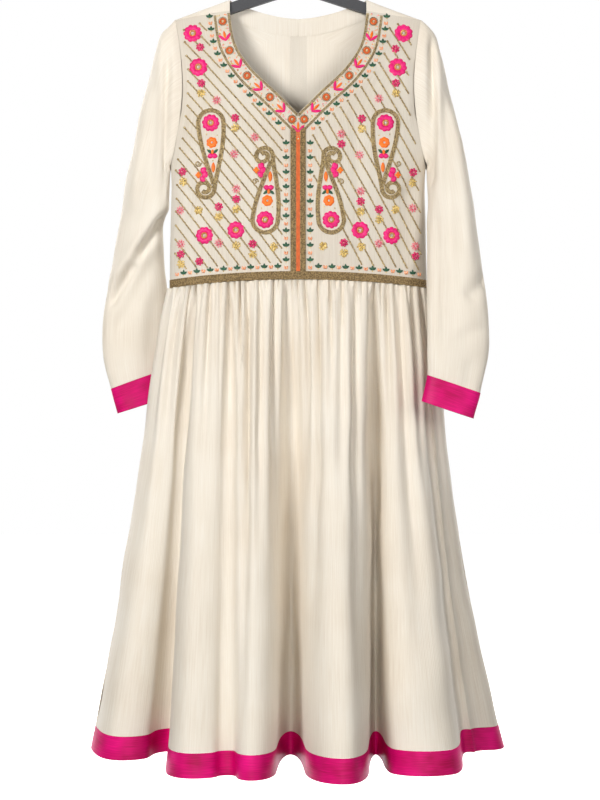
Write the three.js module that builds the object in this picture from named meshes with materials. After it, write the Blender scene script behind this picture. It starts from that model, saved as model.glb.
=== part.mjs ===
// Anarkali gown on a hanger: long sleeves, sweetheart V neck, gathered skirt, satin cuffs and hem.
// Millimetres, +Z up. The front faces -Y, and -X is on the left of someone looking at it.
// The origin is the inside top of the hanger's hook, where a rail carries it.
import * as THREE from 'three';

// ---- driving dimensions ----
const WALL = 1.4; // cloth, all pieces
const SEAM = 0.3; // space left between pieces
const LIFT = 0.6; // space under what lies on a panel
const NECK = { half: 109, z: -116 }; // high point of the shoulder, beside the neck
const TIP_HALF = 196; // end of the shoulder, where the sleeve starts
const SHOULDER_SLOPE = 0.37;
const RIDGE_RADIUS = 8; // the cloth's fold over the hanger
const RIDGE_SPREAD = 0.25; // how fast front and back part below that fold
const SQUARENESS = 2.6; // 2 is an ellipse
const ARMPIT_Z = -386;
const ARMHOLE_HOLLOW = 16; // how far the armhole curves in towards the body
const FRONT_NECK = { shoulderZ: -136, pointZ: -304 };
const BACK_NECK_Z = -142;
const SEAM_FORWARD = 24; // shoulder seam in front of the ridge, beside the neck
const WAIST = { z: -578, arch: 12 };
const TRIM_HEIGHT = 13;
const PLACKET = { topZ: -328, half: 12, stripeHalf: 3, rows: 8 };
const RAISED = 1.2; // thickness of the trims
const FACING = { half: 86, below: 1, depth: 27, thick: 1, columns: 6 };
const HEM = { z: -1346, lift: 16, band: 39 };
const SHARP = 0.55; // cosine past which two walls keep their own directions at a seam
const HANGER = { top: 5.5, height: 14, hubHeight: 22.4, thick: 9, half: 186, point: 3, hub: 11 };
const HOOK = { wire: 2.2, inner: 20, from: 200, to: -40 }; // degrees round, from its open end
const SHANK = [{ x: 5, z: -52 }, { x: 0, z: -62 }]; // how the hook's wire comes in over the hub

// body sections: half width from side seam to side seam, and half depth
const BODY = [
  { z: -116, side: 250, depth: 40 },
  { z: -250, side: 232, depth: 46 },
  { z: -386, side: 204, depth: 51 },
  { z: -480, side: 204, depth: 49 },
  { z: -578, side: 206, depth: 46 },
];

// front neck edge: half width at a height
const NECK_EDGE = [
  { z: -136, half: 109 },
  { z: -190, half: 99 },
  { z: -230, half: 74 },
  { z: -268, half: 35 },
  { z: -304, half: 0 },
];

// sleeves, a row per section: outer edge, underarm edge, middle y, half depth,
// and hollow, how far the section still curves in towards the armhole
const SLEEVE_LEFT = [
  { name: 'cap', outer: [-206, -159], under: [-206, -390], y: 0, deep: 28, hollow: 10 },
  { name: 'cap turn', outer: [-219, -172], under: [-206, -395], y: 1, deep: 29, hollow: 5 },
  { name: 'cap side', outer: [-228, -197], under: [-206, -401], y: 3, deep: 30, hollow: 1 },
  { name: 'upper arm', outer: [-239, -235], under: [-206, -414], y: 7, deep: 31, hollow: 0 },
  { name: 'arm', outer: [-251, -281], under: [-206, -431], y: 12, deep: 31, hollow: 0 },
  { name: 'above elbow', outer: [-264, -345], under: [-207, -449], y: 20, deep: 30, hollow: 0 },
  { name: 'elbow top', outer: [-276, -396], under: [-214, -463], y: 28, deep: 29, hollow: 0 },
  { name: 'elbow', outer: [-285, -448], under: [-219, -482], y: 38, deep: 27, hollow: 0 },
  { name: 'below elbow', outer: [-300, -527], under: [-217, -536], y: 50, deep: 25, hollow: 0 },
  { name: 'forearm', outer: [-312, -585], under: [-213, -582], y: 58, deep: 22, hollow: 0 },
  { name: 'widest', outer: [-320, -640], under: [-213, -630], y: 63, deep: 20, hollow: 0 },
  { name: 'wrist', outer: [-318, -690], under: [-217, -668], y: 65, deep: 17, hollow: 0 },
  { name: 'cuff top', outer: [-306, -738], under: [-220, -707], y: 66, deep: 15, hollow: 0 },
  { name: 'cuff end', outer: [-295, -778], under: [-209, -750], y: 66, deep: 15, hollow: 0 },
];
const SLEEVE_RIGHT = [
  { name: 'cap', outer: [208, -159], under: [206, -390], y: 0, deep: 28, hollow: 10 },
  { name: 'cap turn', outer: [221, -176], under: [206, -395], y: -1, deep: 29, hollow: 5 },
  { name: 'cap side', outer: [228, -206], under: [206, -402], y: -3, deep: 30, hollow: 1 },
  { name: 'upper arm', outer: [238, -250], under: [206, -414], y: -7, deep: 31, hollow: 0 },
  { name: 'arm', outer: [249, -294], under: [206, -431], y: -12, deep: 31, hollow: 0 },
  { name: 'above elbow', outer: [258, -346], under: [206, -452], y: -20, deep: 30, hollow: 0 },
  { name: 'elbow top', outer: [268, -402], under: [205, -477], y: -28, deep: 29, hollow: 0 },
  { name: 'elbow', outer: [278, -457], under: [204, -508], y: -38, deep: 27, hollow: 0 },
  { name: 'below elbow', outer: [288, -534], under: [203, -559], y: -50, deep: 25, hollow: 0 },
  { name: 'forearm', outer: [294, -585], under: [202, -599], y: -58, deep: 22, hollow: 0 },
  { name: 'widest', outer: [298, -634], under: [202, -638], y: -63, deep: 20, hollow: 0 },
  { name: 'wrist', outer: [296, -690], under: [202, -678], y: -65, deep: 17, hollow: 0 },
  { name: 'cuff top', outer: [285, -745], under: [202, -717], y: -66, deep: 15, hollow: 0 },
  { name: 'cuff end', outer: [274, -785], under: [194, -758], y: -66, deep: 15, hollow: 0 },
];

// skirt folds, a row per fold going round: the stretch of the waist it is gathered into,
// then at the hem its two edges and crest in x, the same three in y, and the recess after it
const FRONT_FOLDS = [
  { name: 'left side', waist: [-206, -172], x: [-341, -292, -240], y: [95, 18, 36], recess: [-206, 62] },
  { name: 'left', waist: [-162, -118], x: [-210, -170, -128], y: [-15, -80, -62], recess: [-108, -52] },
  { name: 'left middle', waist: [-100, -26], x: [-96, -71, -33], y: [-70, -98, -32], recess: [-12, 50] },
  { name: 'right middle', waist: [8, 112], x: [10, 72, 113], y: [-38, -128, -34], recess: [126, 50] },
  { name: 'right', waist: [128, 188], x: [138, 198, 264], y: [-16, -64, -12], recess: [274, 58] },
  { name: 'right side', waist: [197, 206], x: [288, 314, 341], y: [56, 72, 104] },
];
const BACK_FOLDS = [
  { name: 'right side', waist: [206, 150], x: [341, 290, 245], y: [104, 138, 116], recess: [226, 80] },
  { name: 'right', waist: [138, 84], x: [214, 174, 136], y: [112, 148, 118], recess: [118, 76] },
  { name: 'right middle', waist: [72, 18], x: [107, 62, 24], y: [112, 146, 114], recess: [8, 74] },
  { name: 'left middle', waist: [6, -52], x: [-3, -48, -92], y: [112, 150, 116], recess: [-108, 78] },
  { name: 'left', waist: [-64, -122], x: [-119, -168, -212], y: [114, 146, 116], recess: [-230, 80] },
  { name: 'left side', waist: [-134, -206], x: [-242, -288, -341], y: [112, 134, 95] },
];
const FLARE = { share: 0.1, reach: 0.08 }; // the part of the widening done just under the waist
const HEM_RISE = { fromY: -40, over: 100 }; // the hem is higher towards the back
const HOLLOW_SIDE = { left: 0.035, right: 0.14, round: 3 }; // how far the sides hang in from straight

const IVORY = { color: 0xe6dece, roughness: 0.8 };
const SATIN = { color: 0xd8107a, roughness: 0.35 };
const BRAID = { color: 0x8a7448, roughness: 0.45, metalness: 0.4 };
const ORANGE = { color: 0xd2642c, roughness: 0.6 };
const BLACK = { color: 0x2a2c2e, roughness: 0.5 };

// ---- curves through the tables ----
const { lerp, clamp } = THREE.MathUtils;

/** A smooth curve through one column of a table, along another. */
function curve(rows, along, value) {
  const at = rows.map((row) => row[along]);
  const to = rows.map((row) => row[value]);
  const last = rows.length - 1;
  const slope = (i) => {
    const a = Math.max(i - 1, 0);
    const b = Math.min(i + 1, last);
    return (to[b] - to[a]) / (at[b] - at[a]);
  };
  const direction = Math.sign(at[last] - at[0]);
  return (place) => {
    let i = 0;
    while (i < last - 1 && (place - at[i + 1]) * direction > 0) i += 1;
    const span = at[i + 1] - at[i];
    const f = clamp((place - at[i]) / span, 0, 1);
    const start = to[i] * (1 + 2 * f) * (1 - f) ** 2 + to[i + 1] * f * f * (3 - 2 * f);
    return start + span * (slope(i) * f * (1 - f) ** 2 - slope(i + 1) * f * f * (1 - f));
  };
}

const bodySide = curve(BODY, 'z', 'side');
const bodyDepth = curve(BODY, 'z', 'depth');
const neckHalf = curve(NECK_EDGE, 'z', 'half');

// ---- the body's form ----
const ridgeZ = (x) => NECK.z - SHOULDER_SLOPE * (Math.abs(x) - NECK.half);
const WAIST_HALF = BODY.at(-1).side;
const waistZ = (x) => WAIST.z + WAIST.arch * (1 - (x / WAIST_HALF) ** 2);
const TIP_Z = ridgeZ(TIP_HALF);

/** Half the body's depth at a place on its front. */
function halfDepth(x, z) {
  const across = Math.min(1, Math.abs(x) / bodySide(z));
  const chest = bodyDepth(z) * Math.sqrt(1 - across ** SQUARENESS);
  const drop = Math.max(0, ridgeZ(x) - z);
  const shoulder = drop < RIDGE_RADIUS
    ? Math.sqrt(drop * (2 * RIDGE_RADIUS - drop))
    : RIDGE_RADIUS + RIDGE_SPREAD * (drop - RIDGE_RADIUS);
  if (chest === 0 || shoulder === 0) return 0;
  return (chest * shoulder) / Math.cbrt(chest ** 3 + shoulder ** 3);
}

const onFront = (x, z) => new THREE.Vector3(x, -halfDepth(x, z), z);
const onBack = (x, z) => new THREE.Vector3(x, halfDepth(x, z), z);

/** A place that many mm over the shoulder ridge, on the front. */
function overRidge(x, arc) {
  const turn = Math.min(arc / RIDGE_RADIUS, Math.PI / 2);
  const fall = Math.max(0, arc - (RIDGE_RADIUS * Math.PI) / 2);
  const z = ridgeZ(x) - RIDGE_RADIUS * (1 - Math.cos(turn)) - fall;
  return onFront(x, z);
}

// heights down the armhole; the sleeve's columns meet the panels' rows on them
const ARMHOLE_STEPS = 10;
const DOWN_ARMHOLE = [0, 0.5, 1, 2, 3, 4, 5, 6, 7, 8, 9, 10];
const BELOW_ARMPIT = [11, 12, 13, 14];
const NECK_STEPS = 6; // of them, beside the front neck edge
const BACK_NECK_STEPS = 5;
const armholeZ = (step) => lerp(TIP_Z, ARMPIT_Z, (1 - Math.cos((Math.PI * step) / ARMHOLE_STEPS)) / 2);

function armholeHalf(z) {
  const f = clamp((z - TIP_Z) / (ARMPIT_Z - TIP_Z), 0, 1);
  return lerp(TIP_HALF, bodySide(ARMPIT_Z), f) - ARMHOLE_HOLLOW * Math.sin(Math.PI * f);
}

/** Outer end of a panel's row: on the armhole, or lower down on the side seam. */
function rowOuter(step) {
  if (step <= ARMHOLE_STEPS) {
    const z = armholeZ(step);
    return { x: armholeHalf(z), z };
  }
  const z = lerp(ARMPIT_Z, WAIST.z, (step - ARMHOLE_STEPS) / BELOW_ARMPIT.length);
  return { x: bodySide(z), z };
}

function frontRowInner(step) {
  if (step <= NECK_STEPS) {
    const z = lerp(FRONT_NECK.shoulderZ, FRONT_NECK.pointZ, step / NECK_STEPS);
    return { x: neckHalf(z), z };
  }
  if (step <= ARMHOLE_STEPS) {
    const f = (step - NECK_STEPS) / (ARMHOLE_STEPS - NECK_STEPS);
    return { x: 0, z: lerp(FRONT_NECK.pointZ, ARMPIT_Z, f) };
  }
  const f = (step - ARMHOLE_STEPS) / BELOW_ARMPIT.length;
  return { x: 0, z: lerp(ARMPIT_Z, WAIST.z + WAIST.arch, f) };
}

const BACK_NECK_ROUND = 1.8; // 2 is a parabola
const backNeckZ = (x) => (
  lerp(BACK_NECK_Z, NECK.z, (Math.abs(x) / NECK.half) ** BACK_NECK_ROUND));

function backRowInner(step) {
  if (step <= BACK_NECK_STEPS) {
    const x = NECK.half * Math.cos(((Math.PI / 2) * step) / BACK_NECK_STEPS);
    return { x, z: backNeckZ(x) };
  }
  if (step <= ARMHOLE_STEPS) {
    const f = (step - BACK_NECK_STEPS) / (ARMHOLE_STEPS - BACK_NECK_STEPS);
    return { x: 0, z: lerp(BACK_NECK_Z, ARMPIT_Z, f) };
  }
  return frontRowInner(step);
}

/** Share of a row's length at a column: even steps of angle round the side. */
const spread = (u) => Math.sin((Math.PI / 2) * u) ** (2 / SQUARENESS);
const COLUMNS = 10;

// the shoulder seam runs forward of the ridge and ends at this step down the front of the armhole
const SEAM_STEP = DOWN_ARMHOLE[1];
const seamEnd = rowOuter(SEAM_STEP);
const seamEndArc = RIDGE_RADIUS * Math.acos(1 - (ridgeZ(seamEnd.x) - seamEnd.z) / RIDGE_RADIUS);
const seamArc = (x) => lerp(SEAM_FORWARD, seamEndArc, (x - NECK.half) / (seamEnd.x - NECK.half));

/** A row over the shoulder, from the ridge at 0 to the shoulder seam at 1. */
function shoulderRow(part) {
  const outer = lerp(TIP_HALF, seamEnd.x, part);
  return halfRow({ x: NECK.half, z: 0 }, { x: outer, z: 0 }, (x) => overRidge(x, seamArc(x) * part));
}

/** One row of half a panel, from the middle out. */
function halfRow(inner, outer, place) {
  return Array.from({ length: COLUMNS + 1 }, (_, column) => {
    const share = spread(column / COLUMNS);
    return place(lerp(inner.x, outer.x, share), lerp(inner.z, outer.z, share));
  });
}

/** The last row, on the arched waist. */
const waistRow = (place) => halfRow(
  { x: 0, z: 0 }, { x: WAIST_HALF, z: 0 }, (x) => place(x, waistZ(x)));

function frontRows() {
  const steps = [...DOWN_ARMHOLE.slice(2), ...BELOW_ARMPIT.slice(0, -1)];
  const rows = steps.map((step) => halfRow(frontRowInner(step), rowOuter(step), onFront));
  return [shoulderRow(1), ...rows, waistRow(onFront)];
}

const OVER_SHOULDER = [1, 0.6, 0.3]; // the back's rows from the shoulder seam to the ridge

function backRows() {
  const steps = [...DOWN_ARMHOLE, ...BELOW_ARMPIT.slice(0, -1)];
  const rows = steps.map((step) => halfRow(backRowInner(step), rowOuter(step), onBack));
  return [...OVER_SHOULDER.map(shoulderRow), ...rows, waistRow(onBack)];
}

// ---- cloth surfaces and solids ----
class Surface {
  points = [];
  faces = [];
  index = new Map();

  vertex(point) {
    const key = Surface.key(point);
    if (!this.index.has(key)) {
      this.index.set(key, this.points.length);
      this.points.push(point.clone());
    }
    return this.index.get(key);
  }

  static key(point) {
    return point.toArray().map((n) => Math.round(n * 100)).join(',');
  }

  /** Rows go down and columns to the right, seen from outside the garment. */
  grid(rows) {
    for (let r = 0; r + 1 < rows.length; r += 1) {
      for (let c = 0; c + 1 < rows[r].length; c += 1) {
        const corners = [rows[r][c], rows[r + 1][c], rows[r + 1][c + 1], rows[r][c + 1]];
        const [a, b, d, e] = corners.map((corner) => this.vertex(corner));
        for (const face of [[a, b, d], [a, d, e]]) {
          if (new Set(face).size === 3) this.faces.push(face);
        }
      }
    }
    return this;
  }
}

const mirror = (point) => new THREE.Vector3(-point.x, point.y, point.z);

/** A panel from the rows of its +X half; seen from behind, +X is on the left. */
function bothHalves(rows, fromBehind) {
  const plus = rows.map((row) => (fromBehind ? [...row].reverse() : row));
  const minus = rows.map((row) => (fromBehind ? row.map(mirror) : [...row].reverse().map(mirror)));
  return new Surface().grid(plus).grid(minus);
}

/** Sums the face normals at each corner of some surfaces. */
function cornerSums(surfaces) {
  const sums = new Map();
  for (const surface of surfaces) {
    for (const face of surface.faces) {
      const [a, b, c] = face.map((i) => surface.points[i]);
      const normal = b.clone().sub(a).cross(c.clone().sub(a));
      for (const point of [a, b, c]) {
        const key = Surface.key(point);
        if (!sums.has(key)) sums.set(key, new THREE.Vector3());
        sums.get(key).add(normal);
      }
    }
  }
  return sums;
}

/** Gives surfaces sewn together one normal at each shared point, except at a sharp angle. */
function sew(surfaces) {
  const shared = cornerSums(surfaces);
  for (const surface of surfaces) {
    const own = cornerSums([surface]);
    surface.normals = surface.points.map((point) => {
      const key = Surface.key(point);
      const [alone, joint] = [own, shared].map((sums) => sums.get(key).clone().normalize());
      return alone.dot(joint) > SHARP ? joint : alone;
    });
  }
}

/** Boundary edges, each with its face on the left. */
function edgesOf(surface) {
  const seen = new Set(surface.faces.flatMap(([a, b, c]) => [`${a},${b}`, `${b},${c}`, `${c},${a}`]));
  return [...seen].map((edge) => edge.split(',').map(Number)).filter(([a, b]) => !seen.has(`${b},${a}`));
}

/** A closed wall: its outer face `lift` out from the surface, `thick` deep. */
function clothMesh(name, surface, finish, { lift = 0, thick = WALL } = {}) {
  const edges = edgesOf(surface);
  const inwards = surface.points.map(() => []);
  for (const [a, b] of edges) {
    const along = surface.points[b].clone().sub(surface.points[a]);
    for (const end of [a, b]) inwards[end].push(surface.normals[end].clone().cross(along).normalize());
  }
  const trimmed = surface.points.map((point, i) => {
    if (inwards[i].length === 0) return point;
    const [before, after] = inwards[i];
    const corner = Math.max(1 + before.dot(after), 0.1);
    return point.clone().addScaledVector(before.clone().add(after), SEAM / 2 / corner);
  });
  const layer = (out) => trimmed.flatMap((point, i) => (
    point.clone().addScaledVector(surface.normals[i], out).toArray()));
  const count = surface.points.length;
  const faces = surface.faces.flatMap(([a, b, c]) => [[a, b, c], [count + a, count + c, count + b]]);
  for (const [a, b] of edges) faces.push([b, a, count + a], [b, count + a, count + b]);
  const geometry = new THREE.BufferGeometry();
  const positions = [...layer(lift), ...layer(lift - thick)];
  geometry.setAttribute('position', new THREE.Float32BufferAttribute(positions, 3));
  geometry.setIndex(faces.flat());
  geometry.computeVertexNormals();
  return solid(name, geometry, finish);
}

function solid(name, geometry, finish) {
  const material = new THREE.MeshStandardMaterial({ side: THREE.DoubleSide, ...finish });
  const mesh = new THREE.Mesh(geometry, material);
  mesh.name = name;
  return mesh;
}

// ---- sleeves ----
/** Closed loops, from the armhole down, front first from -X to +X, then the back. */
function sleeveRows(table, side) {
  const steps = [...DOWN_ARMHOLE, ...DOWN_ARMHOLE.slice(1, -1).reverse().map((step) => -step)];
  const ordered = side < 0 ? steps : steps.map((step) => -step);
  const armhole = ordered.map((step) => {
    const z = armholeZ(Math.abs(step));
    const x = armholeHalf(z);
    const y = -Math.sign(step) * halfDepth(x, z);
    return new THREE.Vector3(side * x, y, z);
  });
  const sections = table.map(({ outer, under, y, deep, hollow }) => ordered.map((step) => {
    const turn = (Math.PI * step) / ARMHOLE_STEPS;
    const out = (1 + Math.cos(turn)) / 2;
    const inwards = hollow * Math.sin(turn) ** 2;
    return new THREE.Vector3(
      lerp(under[0], outer[0], out) - side * inwards,
      y - deep * Math.sin(turn),
      lerp(under[1], outer[1], out));
  }));
  return [armhole, ...sections].map((loop) => [...loop, loop[0]]);
}

// ---- skirt ----
/** The points that steer the folds, by turns an edge and a crest or recess: waist place, hem place. */
function foldPoints(folds) {
  return folds.flatMap((fold, i) => {
    const [from, to] = fold.waist;
    const along = [from, lerp(from, to, 0.5), to];
    const points = along.map((waist, k) => ({ waist, x: fold.x[k], y: fold.y[k] }));
    if (fold.recess) {
      const next = folds[i + 1].waist[0];
      points.push({ waist: lerp(to, next, 0.5), x: fold.recess[0], y: fold.recess[1] });
    }
    return points;
  });
}

/** The hem's plan: a quarter of an ellipse from each point to the next. */
function foldPlace(points, at) {
  const i = Math.min(Math.floor(at), points.length - 2);
  const [a, b] = [points[i], points[i + 1]];
  const turn = ((at - i) * Math.PI) / 2;
  const [early, late] = [Math.sin(turn), 1 - Math.cos(turn)];
  const fromEdge = i % 2 === 0;
  return {
    waist: lerp(a.waist, b.waist, at - i),
    x: lerp(a.x, b.x, fromEdge ? late : early),
    y: lerp(a.y, b.y, fromEdge ? early : late),
  };
}

const SKIRT_HEIGHTS = [0, 0.06, 0.18, 0.5];
const BAND_TOP = 1 - HEM.band / (WAIST.z - HEM.z);
const PER_QUARTER = 2; // columns in each quarter of a fold

/** Rows of half the skirt, front or back, for heights from 0 at the waist to 1 at the hem. */
function skirtRows(folds, side, heights) {
  const points = foldPoints(folds);
  const count = (points.length - 1) * PER_QUARTER;
  return heights.map((height) => Array.from({ length: count + 1 }, (_, column) => {
    const { waist, x, y } = foldPlace(points, column / PER_QUARTER);
    const quick = 1 - Math.exp(-height / FLARE.reach);
    const wide = lerp(height, quick, FLARE.share * (1 - height));
    const hollow = HOLLOW_SIDE[waist < 0 ? 'left' : 'right']
      * Math.abs(waist / WAIST_HALF) ** HOLLOW_SIDE.round * Math.sin(Math.PI * height);
    const lift = HEM.lift * clamp((y - HEM_RISE.fromY) / HEM_RISE.over, 0, 1);
    return new THREE.Vector3(
      lerp(waist, x, wide - hollow),
      lerp(side * halfDepth(waist, waistZ(waist)), y, wide),
      lerp(waistZ(waist) - SEAM, HEM.z + lift, height));
  }));
}

// ---- what lies on the front ----
/** A grid on the front between two heights, across the given x places. */
const patchOn = (place, xs, heights) => new Surface().grid(
  heights.map((height) => xs.map((x) => place(x, height))));

function evenly(from, to, count) {
  return Array.from({ length: count + 1 }, (_, i) => lerp(from, to, i / count));
}

// ---- hanger ----
function hangerArms() {
  const { top, height, hubHeight, thick, half, point, hub } = HANGER;
  const end = ridgeZ(half) - top;
  const middle = ridgeZ(hub) - top;
  const shape = new THREE.Shape([
    [-half, end], [-hub, middle], [hub, middle], [half, end],
    [half + point, end - height / 2], [half, end - height],
    [hub, middle - hubHeight], [-hub, middle - hubHeight],
    [-half, end - height], [-half - point, end - height / 2],
  ].map(([x, z]) => new THREE.Vector2(x, z)));
  const geometry = new THREE.ExtrudeGeometry(shape, { depth: thick, bevelEnabled: false });
  geometry.rotateX(Math.PI / 2).translate(0, thick / 2, 0);
  return solid('hanger_arms', geometry, BLACK);
}

function hangerHook() {
  const radius = HOOK.inner + HOOK.wire;
  const centre = -HOOK.inner;
  const round = evenly(HOOK.from, HOOK.to, 12).map((degrees) => {
    const turn = THREE.MathUtils.degToRad(degrees);
    return new THREE.Vector3(radius * Math.cos(turn), 0, centre + radius * Math.sin(turn));
  });
  const foot = ridgeZ(HANGER.hub) - HANGER.top + SEAM;
  const shank = [...SHANK, { x: 0, z: foot }].map(({ x, z }) => new THREE.Vector3(x, 0, z));
  const path = new THREE.CatmullRomCurve3([...round, ...shank]);
  const section = new THREE.Shape().absarc(0, 0, HOOK.wire, 0, 2 * Math.PI);
  const options = { steps: 30, curveSegments: 6, extrudePath: path };
  return solid('hanger_hook', new THREE.ExtrudeGeometry(section, options), { ...BLACK, metalness: 0.6 });
}

// ---- the garment ----
const bodice = {
  front: bothHalves(frontRows(), false),
  back: bothHalves(backRows(), true),
};
const sleeves = [
  { name: 'left', rows: sleeveRows(SLEEVE_LEFT, -1) },
  { name: 'right', rows: sleeveRows(SLEEVE_RIGHT, 1) },
].map(({ name, rows }) => ({
  name,
  sleeve: new Surface().grid(rows.slice(0, -1)),
  cuff: new Surface().grid(rows.slice(-2)),
}));
const skirts = [
  { name: 'front', folds: FRONT_FOLDS, side: -1 },
  { name: 'back', folds: BACK_FOLDS, side: 1 },
].map(({ name, folds, side }) => ({
  name,
  skirt: new Surface().grid(skirtRows(folds, side, [...SKIRT_HEIGHTS, BAND_TOP])),
  band: new Surface().grid(skirtRows(folds, side, [BAND_TOP, 1])),
}));
sew([
  bodice.front, bodice.back,
  ...sleeves.flatMap(({ sleeve, cuff }) => [sleeve, cuff]),
  ...skirts.flatMap(({ skirt, band }) => [skirt, band]),
]);

const facingPlaces = (side) => {
  const { half, below, depth, columns } = FACING;
  const xs = side < 0 ? evenly(0, -half, columns) : evenly(half, 0, columns);
  return new Surface().grid(evenly(below, below + depth, 2).map((down) => xs.map((x) => (
    onBack(x, backNeckZ(x) - down)))));
};
const facings = [{ name: 'left', side: -1 }, { name: 'right', side: 1 }].map(({ name, side }) => ({
  name, surface: facingPlaces(side),
}));
const trimHalf = WAIST_HALF - 0.2; // it ends just short of the side seams
const trimPlaces = evenly(-COLUMNS, COLUMNS, 2 * COLUMNS).map((column) => (
  Math.sign(column) * spread(Math.abs(column) / COLUMNS) * trimHalf));
const trim = patchOn(
  (x, up) => onFront(x, waistZ(x) + up), trimPlaces, [TRIM_HEIGHT, TRIM_HEIGHT / 2, 0]);
const trimTop = WAIST.z + WAIST.arch + TRIM_HEIGHT;
const placketHeights = evenly(PLACKET.topZ, trimTop, PLACKET.rows);
const placket = [
  { name: 'placket_trim_left', xs: [-PLACKET.half, -PLACKET.stripeHalf], finish: BRAID },
  { name: 'placket_stripe', xs: [-PLACKET.stripeHalf, PLACKET.stripeHalf], finish: ORANGE },
  { name: 'placket_trim_right', xs: [PLACKET.stripeHalf, PLACKET.half], finish: BRAID },
].map((strip) => ({ ...strip, surface: patchOn(onFront, strip.xs, placketHeights) }));
sew([...facings.map(({ surface }) => surface)]);
sew([trim, ...placket.map(({ surface }) => surface)]);

const raised = { lift: LIFT + RAISED, thick: RAISED };
const gown = new THREE.Group();
gown.add(
  clothMesh('front_bodice', bodice.front, IVORY),
  clothMesh('back_bodice', bodice.back, IVORY),
  ...facings.map(({ name, surface }) => (
    clothMesh(`neck_facing_${name}`, surface, IVORY, { lift: -(WALL + LIFT), thick: FACING.thick }))),
  ...sleeves.flatMap(({ name, sleeve, cuff }) => [
    clothMesh(`sleeve_${name}`, sleeve, IVORY), clothMesh(`cuff_${name}`, cuff, SATIN)]),
  ...skirts.flatMap(({ name, skirt, band }) => [
    clothMesh(`skirt_${name}`, skirt, IVORY), clothMesh(`hem_band_${name}`, band, SATIN)]),
  clothMesh('waist_trim', trim, BRAID, raised),
  ...placket.map(({ name, surface, finish }) => clothMesh(name, surface, finish, raised)),
  hangerArms(),
  hangerHook(),
);
export default gown;
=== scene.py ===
import math

import bpy
import numpy as np
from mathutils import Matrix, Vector


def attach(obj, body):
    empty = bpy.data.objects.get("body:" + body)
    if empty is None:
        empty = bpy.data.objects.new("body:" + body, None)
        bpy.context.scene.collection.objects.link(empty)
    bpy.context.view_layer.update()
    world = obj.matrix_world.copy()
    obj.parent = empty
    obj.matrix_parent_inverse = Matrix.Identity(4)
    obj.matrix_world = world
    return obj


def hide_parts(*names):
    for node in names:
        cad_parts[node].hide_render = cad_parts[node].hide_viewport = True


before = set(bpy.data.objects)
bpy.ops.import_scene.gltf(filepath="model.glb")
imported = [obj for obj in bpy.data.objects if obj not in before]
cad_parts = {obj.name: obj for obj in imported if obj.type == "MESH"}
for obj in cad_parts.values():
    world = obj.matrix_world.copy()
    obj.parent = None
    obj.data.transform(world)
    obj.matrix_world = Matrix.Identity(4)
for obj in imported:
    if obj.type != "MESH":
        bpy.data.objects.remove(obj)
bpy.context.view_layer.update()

# Anarkali gown on a hanger. The forms are worked out in millimetres, in the frame of the CAD part
# (origin at the hook, +Z up, front to -Y), and become metres when a mesh is made.
MM = 0.001
random = np.random.default_rng(11)


def table(names, *rows):
    """The columns of a short table, by name."""
    return {name: np.array(column) for name, column in zip(names.split(), zip(*rows))}


def rows_of(columns):
    """The rows of such a table, each a dictionary."""
    names = list(columns)
    return [dict(zip(names, row)) for row in zip(*columns.values())]


def curve(columns, along, value):
    """A smooth curve through one column of a table, along another."""
    at, to = columns[along].astype(float), columns[value].astype(float)
    slope = np.empty_like(to)
    slope[1:-1] = (to[2:] - to[:-2]) / (at[2:] - at[:-2])
    slope[0] = (to[1] - to[0]) / (at[1] - at[0])
    slope[-1] = (to[-1] - to[-2]) / (at[-1] - at[-2])
    way = np.sign(at[-1] - at[0])

    def value_at(place):
        place = np.asarray(place, float)
        i = np.clip(np.searchsorted(way * at, way * place, side="right") - 1, 0, len(at) - 2)
        span = at[i + 1] - at[i]
        f = np.clip((place - at[i]) / span, 0, 1)
        start = to[i] * (1 + 2 * f) * (1 - f) ** 2 + to[i + 1] * f * f * (3 - 2 * f)
        return start + span * (slope[i] * f * (1 - f) ** 2 - slope[i + 1] * f * f * (1 - f))

    return value_at


def lerp(a, b, f):
    return a + (b - a) * f


# ---- the garment's sizes, as in the CAD part ----
CLOTH = 1.2
NECK_HALF, NECK_Z = 109, -116
TIP_HALF = 196
SHOULDER_SLOPE = 0.37
RIDGE_RADIUS = 8
RIDGE_SPREAD = 0.25
SQUARENESS = 2.6
ARMPIT_Z = -386
ARMHOLE_HOLLOW = 16
NECK_SHOULDER_Z, NECK_POINT_Z = -136, -304
BACK_NECK_Z = -142
SEAM_FORWARD = 24
WAIST_Z, WAIST_ARCH = -578, 12
TRIM_HEIGHT = 13
PLACKET_TOP, PLACKET_HALF, STRIPE_HALF = -328, 12, 3
FACING_DEPTH = 27
HEM_Z, HEM_LIFT, HEM_BAND = -1346, 16, 39
WAIST_HALF = 206

BODY = table(
    "z side depth",
    (-116, 250, 40),
    (-250, 232, 46),
    (-386, 204, 51),
    (-480, 204, 49),
    (-578, 206, 46))
NECK_EDGE = table(
    "z half",
    (-136, 109),
    (-190, 99),
    (-230, 74),
    (-268, 35),
    (-304, 0))

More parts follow.
